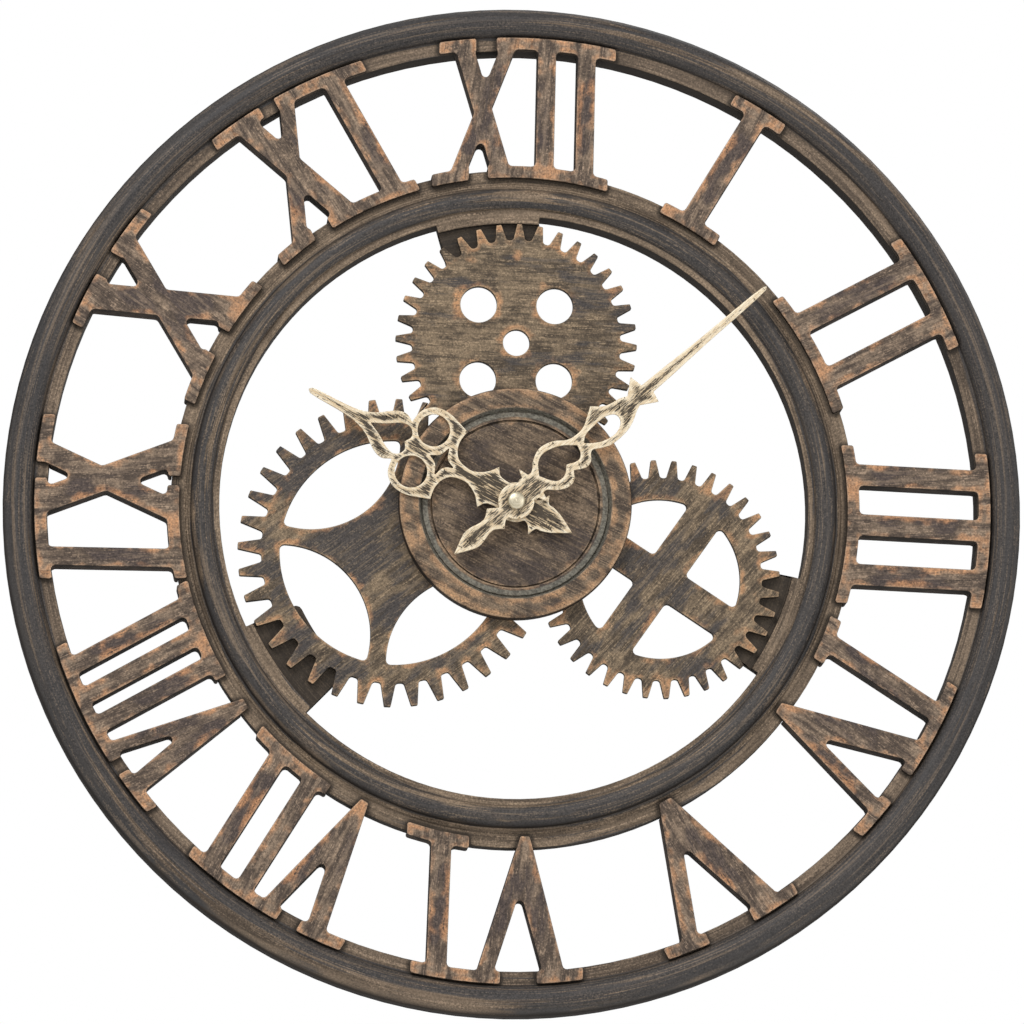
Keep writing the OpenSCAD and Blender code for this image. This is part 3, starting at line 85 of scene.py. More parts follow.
class Wiring:
    """Adds nodes to a material or to a node group, with their values and links in one call."""

    def __init__(self, tree):
        self.tree = tree

    def link(self, value, socket):
        """Links an output to a socket, or sets the socket where the value is plain."""
        if isinstance(value, bpy.types.NodeSocket):
            self.tree.links.new(value, socket)
        else:
            socket.default_value = value

    def add(self, kind, out=0, settings=None, **inputs):
        """Adds a node and gives one of its outputs; i0, i1 and so on name inputs by their place."""
        node = self.tree.nodes.new(kind)
        for key, value in (settings or {}).items():
            setattr(node, key, value)
        for key, value in inputs.items():
            self.link(value, node.inputs[int(key[1:]) if key[1:].isdigit() else key])
        return node.outputs[out]

    def place(self):
        return self.add("ShaderNodeTexCoord", out="Object")

    def measured(self, name):
        """A measure that worn_piece wrote on each vertex, in metres."""
        return self.add("ShaderNodeAttribute", out="Fac", settings={"attribute_name": name})

    def split(self, vector):
        node = self.tree.nodes.new("ShaderNodeSeparateXYZ")
        self.link(vector, node.inputs[0])
        return node.outputs

    def calc(self, kind, a, b, clamp=False):
        return self.add("ShaderNodeMath", settings={"operation": kind, "use_clamp": clamp}, i0=a, i1=b)

    def times(self, a, b):
        return self.calc("MULTIPLY", a, b)

    def total(self, *terms):
        """Adds up its terms; a pair is a value and its weight."""
        parts = [self.times(*term) if isinstance(term, tuple) else term for term in terms]
        out = parts[0]
        for part in parts[1:]:
            out = self.calc("ADD", out, part)
        return out

    def scaled(self, vector, factor):
        return self.add("ShaderNodeVectorMath", settings={"operation": "SCALE"}, i0=vector, Scale=factor)

    def mix(self, share, a, b):
        return self.add("ShaderNodeMix", out=2, settings={"data_type": "RGBA", "blend_type": "MIX",
                                                         "clamp_factor": True}, i0=share, i6=a, i7=b)

    def ramp(self, value, low, high, start=0.0, end=1.0):
        return self.add("ShaderNodeMapRange", settings={"interpolation_type": "SMOOTHSTEP"},
                        i0=value, i1=low, i2=high, i3=start, i4=end)

    def stretched(self, vector, along, across, detail, seed):
        """Noise in long marks; along and across are a mark's length and width in the vector's unit."""
        stroke = self.add("ShaderNodeVectorMath", settings={"operation": "MULTIPLY_ADD"}, i0=vector,
                          i1=(1 / along, 1 / along, 1 / across), i2=(seed, seed * 1.7, seed * 0.6))
        return self.add("ShaderNodeTexNoise", settings={"noise_dimensions": "3D"}, Vector=stroke,
                        Scale=1.0, Detail=detail, Roughness=0.66)


def node_group(name, takes, gives):
    """A shader node group with named sockets, its wiring, and its input and output nodes."""
    tree = bpy.data.node_groups.new(name, "ShaderNodeTree")
    for kinds, way in ((takes, "INPUT"), (gives, "OUTPUT")):
        for label, kind in kinds.items():
            tree.interface.new_socket(name=label, in_out=way, socket_type="NodeSocket" + kind)
    return Wiring(tree), tree.nodes.new("NodeGroupInput"), tree.nodes.new("NodeGroupOutput")


# Streak space in millimetres: the first two axes run along the brush strokes, the third across them.
# Round strokes are measured on a circle of STROKE_R, so they come out longer on the rings. Depth
# counts as 0.6 of a move across, so that rounded flanks get streaks too.
MM = 1000
STROKE_R = 40
DEPTH_SHARE = -0.6 * MM
round_strokes, given, made = node_group("round_strokes", {}, {"Strokes": "Vector", "Radius": "Float"})
place = round_strokes.place()
flat_place = round_strokes.add("ShaderNodeVectorMath", settings={"operation": "MULTIPLY"},
                               i0=place, i1=(MM, 0, MM))
radius = round_strokes.add("ShaderNodeVectorMath", out="Value", settings={"operation": "LENGTH"},
                           i0=flat_place)
direction = round_strokes.add("ShaderNodeVectorMath", settings={"operation": "NORMALIZE"}, i0=flat_place)
along = round_strokes.split(round_strokes.scaled(direction, STROKE_R))
across = round_strokes.total(radius, (round_strokes.split(place)[1], DEPTH_SHARE))
strokes = round_strokes.add("ShaderNodeCombineXYZ", X=along[0], Y=along[2], Z=across)
round_strokes.link(strokes, made.inputs["Strokes"])
round_strokes.link(radius, made.inputs["Radius"])

# The painted finish that all the large pieces share: bronze paint, dark wax and copper rubbed on top
GRIT = 0.0008
antique, given, made = node_group(
    "antique_finish",
    {"Strokes": "Vector", "Edge": "Float", "Wax": "Float", "Rub": "Float",
     "Bronze": "Color", "Umber": "Color", "Charcoal": "Color", "Copper": "Color"},
    {"Color": "Color", "Roughness": "Float", "Height": "Float"})
strokes, edge = given.outputs["Strokes"], given.outputs["Edge"]
bronze, charcoal = given.outputs["Bronze"], given.outputs["Charcoal"]
pale_hairs = antique.stretched(strokes, 8.0, 0.50, 3, 1.3)
dark_hairs = antique.stretched(strokes, 12.0, 0.70, 4, 6.7)
bristles = antique.stretched(strokes, 22, 1.8, 3, 7.1)
clouds = antique.stretched(strokes, 42, 15, 3, 3.7)
blotches = antique.stretched(strokes, 11, 8, 2, 11.9)
grit = antique.stretched(antique.place(), GRIT, GRIT, 4, 5.3)

# Bronze paint over an umber ground, crossed by pale and dark hairs from the brush
pale_bronze_and_highlight = antique.scaled(bronze, 2.0)
gloom = antique.scaled(given.outputs["Umber"], 0.5)
pale = antique.ramp(antique.total(pale_hairs, (grit, 0.5)), 0.80, 0.92)
deep = antique.ramp(antique.total(dark_hairs, (grit, 0.5)), 0.71, 0.58)
tone = antique.total((bristles, 0.55), (blotches, 0.45))
paint = antique.mix(antique.ramp(tone, 0.40, 0.60), given.outputs["Umber"], bronze)
paint = antique.mix(antique.times(deep, 0.34), paint, gloom)
paint = antique.mix(antique.times(pale, 0.44), paint, pale_bronze_and_highlight)

# Dark wax lies in clouds, sooty in the hairs and scratched through to the bronze along the bristles
level = antique.total((clouds, 0.85), (bristles, 0.32), (dark_hairs, 0.12), given.outputs["Wax"], -0.5)
wax = antique.ramp(level, 0.61, 0.69)
dark = antique.mix(antique.times(deep, 0.6), charcoal, antique.scaled(charcoal, 0.45))
scratched = antique.calc("MAXIMUM", antique.times(pale, 0.45), antique.ramp(bristles, 0.54, 0.68, 0, 0.6))
paint = antique.mix(antique.times(wax, 0.9), paint, antique.mix(scratched, dark, bronze))

# Copper is rubbed on in blotches, mostly near the edges; the very rims get a painted pale highlight
NEAR_EDGE = 0.006
RIM_HIGHLIGHT_FROM, RIM_HIGHLIGHT_TO = 0.0001, 0.0008
near = antique.ramp(edge, 0.0, NEAR_EDGE, 1, 0)
rubbed = antique.ramp(antique.total((near, 0.26), (blotches, 0.85), given.outputs["Rub"], -0.5), 0.55, 0.78)
worn = antique.total((antique.calc("SUBTRACT", 1.0, deep), 0.55), (pale, 0.35))
paint = antique.mix(antique.times(rubbed, worn), paint, given.outputs["Copper"])
# Painted highlight: a thin line of pale bronze along the rims, broken into blotches
rim = antique.times(antique.ramp(edge, RIM_HIGHLIGHT_FROM, RIM_HIGHLIGHT_TO, 1, 0), antique.ramp(blotches, 0.40, 0.56))
paint = antique.mix(antique.times(rim, 0.6), paint, pale_bronze_and_highlight)
paint = antique.scaled(paint, antique.ramp(grit, 0.34, 0.66, 0.74, 1.28))

# Walls that face sideways carry painted shade, a near-black colour without strokes. The backs are
# lighter, with some pale hairs.
facing = antique.split(antique.add("ShaderNodeNewGeometry", out="Normal"))[1]
shaded_sides = antique.ramp(facing, -0.60, -0.15)
behind = antique.ramp(facing, 0.3, 0.8)
# Painted shade: side walls turn near black; backs keep a lighter brown
plain = antique.mix(behind, tint(32, 27, 24), tint(76, 67, 58))
plain = antique.mix(antique.times(antique.times(pale, behind), 0.4), plain, pale_bronze_and_highlight)
paint = antique.mix(antique.times(shaded_sides, 0.93), paint, plain)
shine = antique.total((grit, 0.35), 0.36, (rubbed, -0.12))
shine = antique.calc("ADD", shine, antique.times(shaded_sides, 0.45), clamp=True)
antique.link(paint, made.inputs["Color"])
antique.link(shine, made.inputs["Roughness"])
antique.link(antique.total((dark_hairs, 0.5), (grit, 0.6), (bristles, 0.5)), made.inputs["Height"])


def new_material(name):
    """An empty node material with one Principled shader on its output."""
    material = bpy.data.materials.new(name)
    material.use_nodes = True
    wiring = Wiring(material.node_tree)
    material.node_tree.nodes.clear()
    shader = material.node_tree.nodes.new("ShaderNodeBsdfPrincipled")
    output = material.node_tree.nodes.new("ShaderNodeOutputMaterial")
    wiring.link(shader.outputs[0], output.inputs[0])
    return material, wiring, shader


def join_group(wiring, group, **inputs):
    """Places a node group in a material and sets or links its named inputs."""
    node = wiring.tree.nodes.new("ShaderNodeGroup")
    node.node_tree = group.tree
    for key, value in inputs.items():
        wiring.link(value, node.inputs[key])
    return node


def lay_finish(wiring, shader, finish, depth, metal=0.25):
    """Feeds a finish group's colour, roughness and height into the shader; depth is in metres."""
    wiring.link(finish.outputs["Color"], shader.inputs["Base Color"])
    wiring.link(finish.outputs["Roughness"], shader.inputs["Roughness"])
    bump = wiring.add("ShaderNodeBump", Strength=1.0, Distance=depth, Height=finish.outputs["Height"])
    wiring.link(bump, shader.inputs["Normal"])
    shader.inputs["Metallic"].default_value = metal
    shader.inputs["Specular IOR Level"].default_value = 0.3


# A moulded edge turns by more than MOULDED_EDGE, and an edge that stays crisp in the light by more
# than CRISP_EDGE. Doubled points along a CAD seam lie closer than SEAM. On faces that look to the
# front, edges longer than a cell are halved, up to HALVINGS times.
MOULDED_EDGE = math.radians(38)
CRISP_EDGE = math.radians(50)
SEAM = 2e-6
HALVINGS = 5
FRONT_NORMAL_Y = -0.9


def moulded_edges(bm):
    """The edges at which the surface turns sharply."""
    return [e for e in bm.edges if len(e.link_faces) == 2 and e.calc_face_angle(0) > MOULDED_EDGE]


def outline_points(edges, flat=False, spacing=0.0007, most=400):
    """Evenly spaced points along the edges, for measuring how far a place is from them."""
    points = []
    for edge in edges:
        a, b = (v.co for v in edge.verts)
        steps = min(most, max(1, math.ceil((b - a).length / spacing)))
        points += [a.lerp(b, i / steps) for i in range(steps + 1)]
    lines = KDTree(len(points))
    for i, point in enumerate(points):
        lines.insert((point.x, 0, point.z) if flat else point, i)
    lines.balance()
    return lines


def worn_piece(node, body, paint, round_r, cell, front_only=False, beside=()):
    """Builds the piece that shows in place of a CAD node: the same form with its edges worn round,
    cut into small cells that hold each point's distance from the nearest edge, for the rubbed paint
    and the painted rim highlight, and from the pieces that stand on it, for the painted shade beside
    them. With front_only, only the foremost edges are rounded."""
    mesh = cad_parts[node].data.copy()
    mesh.materials.clear()
    bm = bmesh.new()
    bm.from_mesh(mesh)
    bmesh.ops.remove_doubles(bm, verts=bm.verts, dist=SEAM)
    edges = moulded_edges(bm)
    lines = outline_points(edges)
    if front_only:
        front = min(v.co.y for v in bm.verts)
        edges = [e for e in edges if all(v.co.y < front + SEAM / 2 for v in e.verts)]
    bmesh.ops.bevel(bm, geom=edges, offset=round_r, segments=2, profile=0.5, affect="EDGES",
                    clamp_overlap=False)
    bmesh.ops.triangulate(bm, faces=bm.faces)
    for halving in range(HALVINGS):
        bm.edges.index_update()
        wide = {e for f in bm.faces if f.normal.y < FRONT_NORMAL_Y for e in f.edges if e.calc_length() > cell}
        bmesh.ops.subdivide_edges(bm, edges=sorted(wide, key=lambda e: e.index), cuts=1)
        bmesh.ops.triangulate(bm, faces=[f for f in bm.faces if len(f.verts) > 3])
    bm.to_mesh(mesh)
    bm.free()
    far = mesh.attributes.new("edge", "FLOAT", "POINT")
    far.data.foreach_set("value", [lines.find(v.co)[2] for v in mesh.vertices])
    if beside:
        standing = bmesh.new()
        for neighbour in beside:
            standing.from_mesh(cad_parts[neighbour].data)
        bmesh.ops.remove_doubles(standing, verts=standing.verts, dist=SEAM)
        outlines = outline_points(moulded_edges(standing), flat=True)
        standing.free()
        far = mesh.attributes.new("beside", "FLOAT", "POINT")
        far.data.foreach_set("value", [outlines.find((v.co.x, 0, v.co.z))[2] for v in mesh.vertices])
    mesh.shade_smooth()
    mesh.set_sharp_from_angle(angle=CRISP_EDGE)
    mesh.materials.append(paint)
    piece = bpy.data.objects.new(f"{node}_dressed", mesh)
    bpy.context.scene.collection.objects.link(piece)
    weighted = piece.modifiers.new("flat_faces_stay_flat", "WEIGHTED_NORMAL")
    weighted.keep_sharp = True
    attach(piece, body)
    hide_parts(node)


# The numerals stand on both rings, and painted shade darkens the flanges round their serifs
NUMERALS = [f"numeral_{hour:02d}" for hour in range(1, 13)]
FADE_OFF_BEAD, FADE_ON_BEAD = 3.5, 2.0
SHADE_LINE_FROM, SHADE_LINE_TO = 0.1, 0.9
SHADE_BESIDE_FROM, SHADE_BESIDE_TO = 0.0004, 0.0026


def wax_and_crease_shade(wiring, around, bead_in, bead_out, flange, bead):
    """How much wax a ring carries, in wisps, and the painted shade in lines beside its bead and round
    the numerals. The bead lies between two radii in millimetres; flange and bead are shares of wax."""
    radius = around.outputs["Radius"]
    inside = wiring.ramp(radius, bead_in - FADE_OFF_BEAD, bead_in + FADE_ON_BEAD)
    outside = wiring.ramp(radius, bead_out - FADE_ON_BEAD, bead_out + FADE_OFF_BEAD, 1, 0)
    on_bead = wiring.ramp(wiring.times(inside, outside), 0, 1, flange, bead)
    wisps = wiring.stretched(around.outputs["Strokes"], 24, 3.0, 4, 21.7)
    crease_shade = wiring.ramp(wiring.measured("beside"), SHADE_BESIDE_FROM, SHADE_BESIDE_TO, 0.75, 0)
    for at in (bead_in, bead_out):
        away = wiring.calc("ABSOLUTE", wiring.calc("SUBTRACT", radius, at), 0.0)
        crease_shade = wiring.calc("MAXIMUM", crease_shade, wiring.ramp(away, SHADE_LINE_FROM, SHADE_LINE_TO, 0.30, 0))
    return wiring.total(on_bead, (wiring.calc("SUBTRACT", wisps, 0.5), 1.1)), crease_shade


# The rings' edges weren't rubbed more than their faces, so one distance from an edge serves all over
RING_EDGE = 0.004
outer_paint, wiring, shader = new_material("waxed_outer_ring")
around = join_group(wiring, round_strokes)
wax, crease_shade = wax_and_crease_shade(wiring, around, OUTER_BEAD_R, PAST_RIM_R, 0.30, 0.62)
finish = join_group(wiring, antique, Strokes=around.outputs["Strokes"], Edge=RING_EDGE, Wax=wax, Rub=0.42,
                    Bronze=tint(126, 109, 92), Umber=tint(84, 72, 61), Charcoal=tint(62, 61, 62),
                    Copper=tint(164, 138, 112))
lay_finish(wiring, shader, finish, RING_BRUSH_DEPTH)
# Painted shade: darker lines beside the bead and round the serifs
colour = wiring.mix(crease_shade, finish.outputs["Color"], tint(50, 44, 38))
wiring.link(colour, shader.inputs["Base Color"])
worn_piece("outer_ring", "root", outer_paint, OUTER_ROUNDING, RING_CELL, beside=NUMERALS)

# Inner ring
# The same moulding, smaller, with three lugs. The lugs' lower shelves lie in the gears' shadow,
# which is painted on them as a dark shade; the lip and the lands are wiped almost clean.
INNER_FLANGE_R, INNER_LIP_R = 142.6, 132.9
INNER_ROUNDING = 0.0004
SHELF_LOW_Y, SHELF_HIGH_Y = -0.0172, -0.0166
SHELF_IN_R, SHELF_OUT_R = 128.0, 130.5
inner_paint, wiring, shader = new_material("waxed_inner_ring")
around = join_group(wiring, round_strokes)
wax, crease_shade = wax_and_crease_shade(wiring, around, INNER_LIP_R, INNER_FLANGE_R, 0.32, 0.64)
finish = join_group(wiring, antique, Strokes=around.outputs["Strokes"], Edge=RING_EDGE, Wax=wax, Rub=0.42,
                    Bronze=tint(134, 116, 97), Umber=tint(90, 77, 64), Charcoal=tint(62, 61, 62),
                    Copper=tint(164, 137, 111))
lay_finish(wiring, shader, finish, RING_BRUSH_DEPTH)
# Painted shade on the lugs' lower shelves under the gears, and beside the bead and serifs
shelf_shade = wiring.times(wiring.ramp(wiring.split(wiring.place())[1], SHELF_LOW_Y, SHELF_HIGH_Y),
                     wiring.ramp(around.outputs["Radius"], SHELF_IN_R, SHELF_OUT_R, 1, 0))
painted_shade_places = wiring.calc("MAXIMUM", crease_shade, wiring.times(shelf_shade, 0.8))
colour = wiring.mix(painted_shade_places, finish.outputs["Color"], tint(46, 40, 34))
wiring.link(colour, shader.inputs["Base Color"])
worn_piece("inner_ring", "root", inner_paint, INNER_ROUNDING, RING_CELL, beside=NUMERALS)

# Numerals
# Twelve moulded numerals bridge the rings, screwed to both from inside. Each was brushed along its
# height; dark wax stays on the middle, the serifs are wiped, and copper is rubbed on near the edges.
NUMERAL_TURNS = [90 - 30 * hour for hour in range(1, 13)]
BRUSH_LEANS = (-5, 4)
NUMERAL_ROUNDING = 0.00045
SERIFS_IN_R, SERIFS_OUT_R = 152.0, 203.0
FADE_IN, FADE_OUT = 16, 14
FLAT_BRUSH_DEPTH = 0.00020
FLAT_CELL = 0.003


def straight_strokes(wiring, turn):
    """Streak space for strokes that run straight across a flat piece, turned from level in degrees."""
    return wiring.add("ShaderNodeMapping", settings={"vector_type": "POINT"}, Vector=wiring.place(),
                      Rotation=(0, math.radians(turn), 0), Scale=(MM, MM, MM))


for hour, turn in enumerate(NUMERAL_TURNS, 1):
    paint, wiring, shader = new_material(f"rubbed_numeral_{hour:02d}")
    radius = join_group(wiring, round_strokes).outputs["Radius"]
    inner_half = wiring.ramp(radius, SERIFS_IN_R, SERIFS_IN_R + FADE_IN)
    outer_half = wiring.ramp(radius, SERIFS_OUT_R - FADE_OUT, SERIFS_OUT_R, 1, 0)
    middle = wiring.times(inner_half, outer_half)
    finish = join_group(wiring, antique, Strokes=straight_strokes(wiring, turn + BRUSH_LEANS[hour % 2]),
                        Edge=wiring.measured("edge"), Wax=wiring.ramp(middle, 0, 1, 0.34, 0.50), Rub=0.46,
                        Bronze=tint(138, 119, 101), Umber=tint(82, 70, 61), Charcoal=tint(76, 66, 63),
                        Copper=tint(208, 150, 104))
    lay_finish(wiring, shader, finish, FLAT_BRUSH_DEPTH)
    worn_piece(f"numeral_{hour:02d}", "root", paint, NUMERAL_ROUNDING, FLAT_CELL)

# Gear plates
# Three flat moulded gears that never turn. Each was brushed in one direction: the top one level,
# the other two rising to the right, with copper rubbed on near the edges.
GEAR_ROUNDING = 0.00035
for side, turn, wax, rub in (("top", 0, 0.45, 0.46), ("left", 38, 0.54, 0.43), ("right", 50, 0.48, 0.45)):
    paint, wiring, shader = new_material(f"brushed_{side}_gear")
    finish = join_group(wiring, antique, Strokes=straight_strokes(wiring, turn),
                        Edge=wiring.measured("edge"), Wax=wax, Rub=rub,
                        Bronze=tint(134, 116, 94), Umber=tint(80, 69, 57), Charcoal=tint(70, 66, 65),
                        Copper=tint(200, 146, 102))
    lay_finish(wiring, shader, finish, FLAT_BRUSH_DEPTH)
    worn_piece(f"{side}_gear_plate", "root", paint, GEAR_ROUNDING, FLAT_CELL)

# Dial
# A turned disc in front of the gears: a raised ring, a narrow groove between two dark lines, and a
# flat middle. It was brushed on a slant that falls to the right; the groove keeps a plain grey wax
# that no rag reached.
DIAL_GROOVE_IN, DIAL_GROOVE_OUT = 38.6, 42.6
DIAL_BRUSH_TURN = -24
DIAL_ROUNDING = 0.0003
dial_paint, wiring, shader = new_material("brushed_dial")
radius = join_group(wiring, round_strokes).outputs["Radius"]
strokes = straight_strokes(wiring, DIAL_BRUSH_TURN)
on_ring = wiring.ramp(radius, DIAL_GROOVE_OUT - 0.4, DIAL_GROOVE_OUT + 0.8)
finish = join_group(wiring, antique, Strokes=strokes, Edge=wiring.measured("edge"),
                    Wax=wiring.ramp(on_ring, 0, 1, 0.48, 0.40), Rub=wiring.ramp(on_ring, 0, 1, 0.40, 0.52),
                    Bronze=tint(126, 108, 89), Umber=tint(74, 63, 54), Charcoal=tint(69, 60, 56),
                    Copper=tint(198, 154, 114))
lay_finish(wiring, shader, finish, FLAT_BRUSH_DEPTH)
groove = wiring.times(wiring.ramp(radius, DIAL_GROOVE_IN - 0.3, DIAL_GROOVE_IN + 0.3),
                      wiring.ramp(radius, DIAL_GROOVE_OUT - 0.5, DIAL_GROOVE_OUT + 0.1, 1, 0))
smear = wiring.stretched(strokes, 1.2, 0.9, 4, 2.2)
plain_wax = wiring.mix(wiring.ramp(smear, 0.36, 0.64), tint(84, 82, 75), tint(138, 134, 122))
colour = wiring.mix(wiring.times(groove, 0.9), finish.outputs["Color"], plain_wax)
wiring.link(colour, shader.inputs["Base Color"])
worn_piece("dial", "root", dial_paint, DIAL_ROUNDING, FLAT_CELL)

# Hands
# Two stamped aluminium hands with softened edges, lacquered in pale gold. Dark wax is brushed over
# the faces and wiped off the edges, so each outline shines and the middle keeps broken dark strokes.
WIPED_FROM, WIPED_TO = 0.00025, 0.0006
MIDDLE_FROM, MIDDLE_TO = 0.0003, 0.0024
HAND_CELL, HAND_ROUNDING, HAND_BRUSH_DEPTH = 0.0016, 0.00030, 0.00005
hand_finish, given, made = node_group(
    "hand_finish", {"Strokes": "Vector", "Edge": "Float", "Wax": "Float"},
    {"Color": "Color", "Roughness": "Float", "Height": "Float"})
strokes, edge = given.outputs["Strokes"], given.outputs["Edge"]
hairs = hand_finish.stretched(strokes, 5.0, 0.46, 4, 4.4)
strips = hand_finish.stretched(strokes, 12, 2.2, 3, 8.8)
gold = hand_finish.mix(hand_finish.ramp(hairs, 0.38, 0.62), tint(214, 190, 154), tint(255, 242, 216))
inner = hand_finish.ramp(edge, MIDDLE_FROM, MIDDLE_TO)
level = hand_finish.total((hairs, 1.3), (strips, 0.4), (inner, 0.22), given.outputs["Wax"], -0.5)
dark = hand_finish.times(hand_finish.ramp(level, 0.96, 1.10),
                         hand_finish.ramp(edge, WIPED_FROM, WIPED_TO))
gold = hand_finish.mix(hand_finish.times(dark, 0.95), gold, tint(42, 32, 24))
hand_finish.link(gold, made.inputs["Color"])
hand_finish.link(hand_finish.ramp(dark, 0, 1, 0.34, 0.62), made.inputs["Roughness"])
hand_finish.link(hairs, made.inputs["Height"])

for node, body, turn, wax in (("hour_hand", "hour_set", -27, 0.55), ("minute_hand", "minute_set", 43, 0.50)):
    lacquer, wiring, shader = new_material(f"gilt_{node}")
    finish = join_group(wiring, hand_finish, Strokes=straight_strokes(wiring, turn),
                        Edge=wiring.measured("edge"), Wax=wax)
    lay_finish(wiring, shader, finish, HAND_BRUSH_DEPTH, metal=0.12)
    worn_piece(node, body, lacquer, HAND_ROUNDING, HAND_CELL, front_only=True)

# Hand nut
# A turned brass nut with a low dome, plated pale, screwed on to the minute arbor's thread. The
# cutter's rings show as fine grooves.
turned_metal, given, made = node_group(
    "turned_metal", {"Light": "Color", "Deep": "Color"},
    {"Color": "Color", "Roughness": "Float", "Height": "Float"})
around = join_group(turned_metal, round_strokes)
rings = turned_metal.stretched(around.outputs["Strokes"], 40, 0.16, 2, 6.1)
stain = turned_metal.stretched(around.outputs["Strokes"], 7, 2, 3, 9.3)
colour = turned_metal.mix(turned_metal.ramp(rings, 0.35, 0.65), given.outputs["Deep"],
                          given.outputs["Light"])
turned_metal.link(colour, made.inputs["Color"])
turned_metal.link(turned_metal.ramp(stain, 0.3, 0.7, 0.34, 0.50), made.inputs["Roughness"])
turned_metal.link(rings, made.inputs["Height"])


def carried_over(node, material, round_r=0.0):
    """Dresses a CAD node that stays: its seams closed, its edges rounded and its material laid on."""
    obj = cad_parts[node]
    weld = obj.modifiers.new("close_seams", "WELD")
    weld.merge_threshold = SEAM
    if round_r:
        rounding = obj.modifiers.new("round_edges", "BEVEL")
        rounding.width, rounding.segments = round_r, 2
        rounding.limit_method, rounding.angle_limit = "ANGLE", MOULDED_EDGE
        rounding.use_clamp_overlap = True
        weighted = obj.modifiers.new("flat_faces_stay_flat", "WEIGHTED_NORMAL")
        weighted.keep_sharp = False
    if obj.material_slots:
        obj.material_slots[0].material = material
    else:
        obj.data.materials.append(material)


nut_metal, wiring, shader = new_material("turned_pale_brass")
finish = join_group(wiring, turned_metal, Light=tint(232, 222, 198), Deep=tint(196, 184, 156))
lay_finish(wiring, shader, finish, depth=0.00003, metal=0.9)
carried_over("hand_nut", nut_metal, round_r=0.0003)

# Dial gasket, washer and fixing nut
# A rubber ring keeps the movement from turning; a steel washer and a hexagonal brass nut on the
# threaded collar clamp dial, gasket and movement together. The hands hide them.
moulding_grain, given, made = node_group(
    "moulding_grain", {"Tone": "Color", "Worn": "Color", "Cell": "Float"},
    {"Color": "Color", "Roughness": "Float", "Height": "Float"})
place = moulding_grain.place()
cells = moulding_grain.add("ShaderNodeTexVoronoi", out="Distance", Vector=place,
                           Scale=given.outputs["Cell"])
drift = moulding_grain.add("ShaderNodeTexNoise", Vector=place, Scale=160, Detail=4, Roughness=0.6)
scuffs = moulding_grain.add("ShaderNodeTexNoise", Vector=place, Scale=900, Detail=5, Roughness=0.7)
colour = moulding_grain.mix(moulding_grain.ramp(drift, 0.35, 0.7, 0, 0.6), given.outputs["Tone"],
                            given.outputs["Worn"])
moulding_grain.link(colour, made.inputs["Color"])
moulding_grain.link(moulding_grain.ramp(scuffs, 0.35, 0.7, 0.38, 0.58), made.inputs["Roughness"])
moulding_grain.link(moulding_grain.total((cells, 0.8), (scuffs, 0.4)), made.inputs["Height"])


def grained(name, tone, worn, cell=2600, depth=0.00004, metal=0.0):
    """A moulded or cast material: two tones drifting into each other over a fine grain."""
    material, wiring, shader = new_material(name)
    finish = join_group(wiring, moulding_grain, Tone=tone, Worn=worn, Cell=cell)
    lay_finish(wiring, shader, finish, depth, metal)
    return material


rubber = grained("black_rubber", tint(38, 37, 36), tint(58, 56, 53), cell=3400, depth=0.00005)
carried_over("dial_gasket", rubber, round_r=0.0002)
zinc, wiring, shader = new_material("zinc_plated_steel")
finish = join_group(wiring, turned_metal, Light=tint(206, 208, 210), Deep=tint(158, 160, 164))
lay_finish(wiring, shader, finish, depth=0.00002, metal=0.95)
carried_over("fixing_washer", zinc, round_r=0.00008)
brass = grained("stamped_brass", tint(205, 172, 108), tint(178, 142, 82),
                cell=3000, depth=0.00002, metal=0.9)
carried_over("fixing_nut", brass, round_r=0.0003)

# Movement case
# A black box of moulded plastic with a threaded collar in front, finely sparked outside so that it
# doesn't shine. A cover snaps on behind and leaves the battery's bay below it open.
case_plastic = grained("sparked_black_plastic", tint(43, 43, 45), tint(58, 58, 60))
carried_over("front_case", case_plastic, round_r=0.0004)
cover_plastic = grained("sparked_cover_plastic", tint(48, 48, 50), tint(62, 62, 63))
carried_over("rear_cover", cover_plastic, round_r=0.0003)
knob_plastic = grained("white_setting_plastic", tint(214, 212, 204), tint(196, 193, 184),
                       cell=3000, depth=0.00003)
carried_over("setting_knob", knob_plastic, round_r=0.0003)

# Train
# Moulded wheels and pinions, each on its own pivot: white ones that run fast, natural ones that
# run slow, and a steel arbor that carries the minute hand.
train_plastic = grained("white_wheel_plastic", tint(226, 224, 217), tint(206, 203, 194),
                        cell=5200, depth=0.00001)
slow_plastic = grained("natural_wheel_plastic", tint(210, 199, 172), tint(188, 176, 148),
                       cell=5200, depth=0.00001)
for node in ("rotor", "fifth_wheel", "fourth_wheel", "third_wheel"):
    carried_over(node, train_plastic)
for node in ("centre_wheel", "minute_wheel", "hour_wheel"):
    carried_over(node, slow_plastic)
arbor_steel = grained("arbor_steel", tint(196, 198, 201), tint(168, 170, 173),
                      cell=5200, depth=0.00001, metal=0.95)
carried_over("minute_arbor", arbor_steel)
bridge_plastic = grained("clear_grey_bridge", tint(150, 154, 158), tint(130, 134, 138))
carried_over("train_bridge", bridge_plastic, round_r=0.0001)

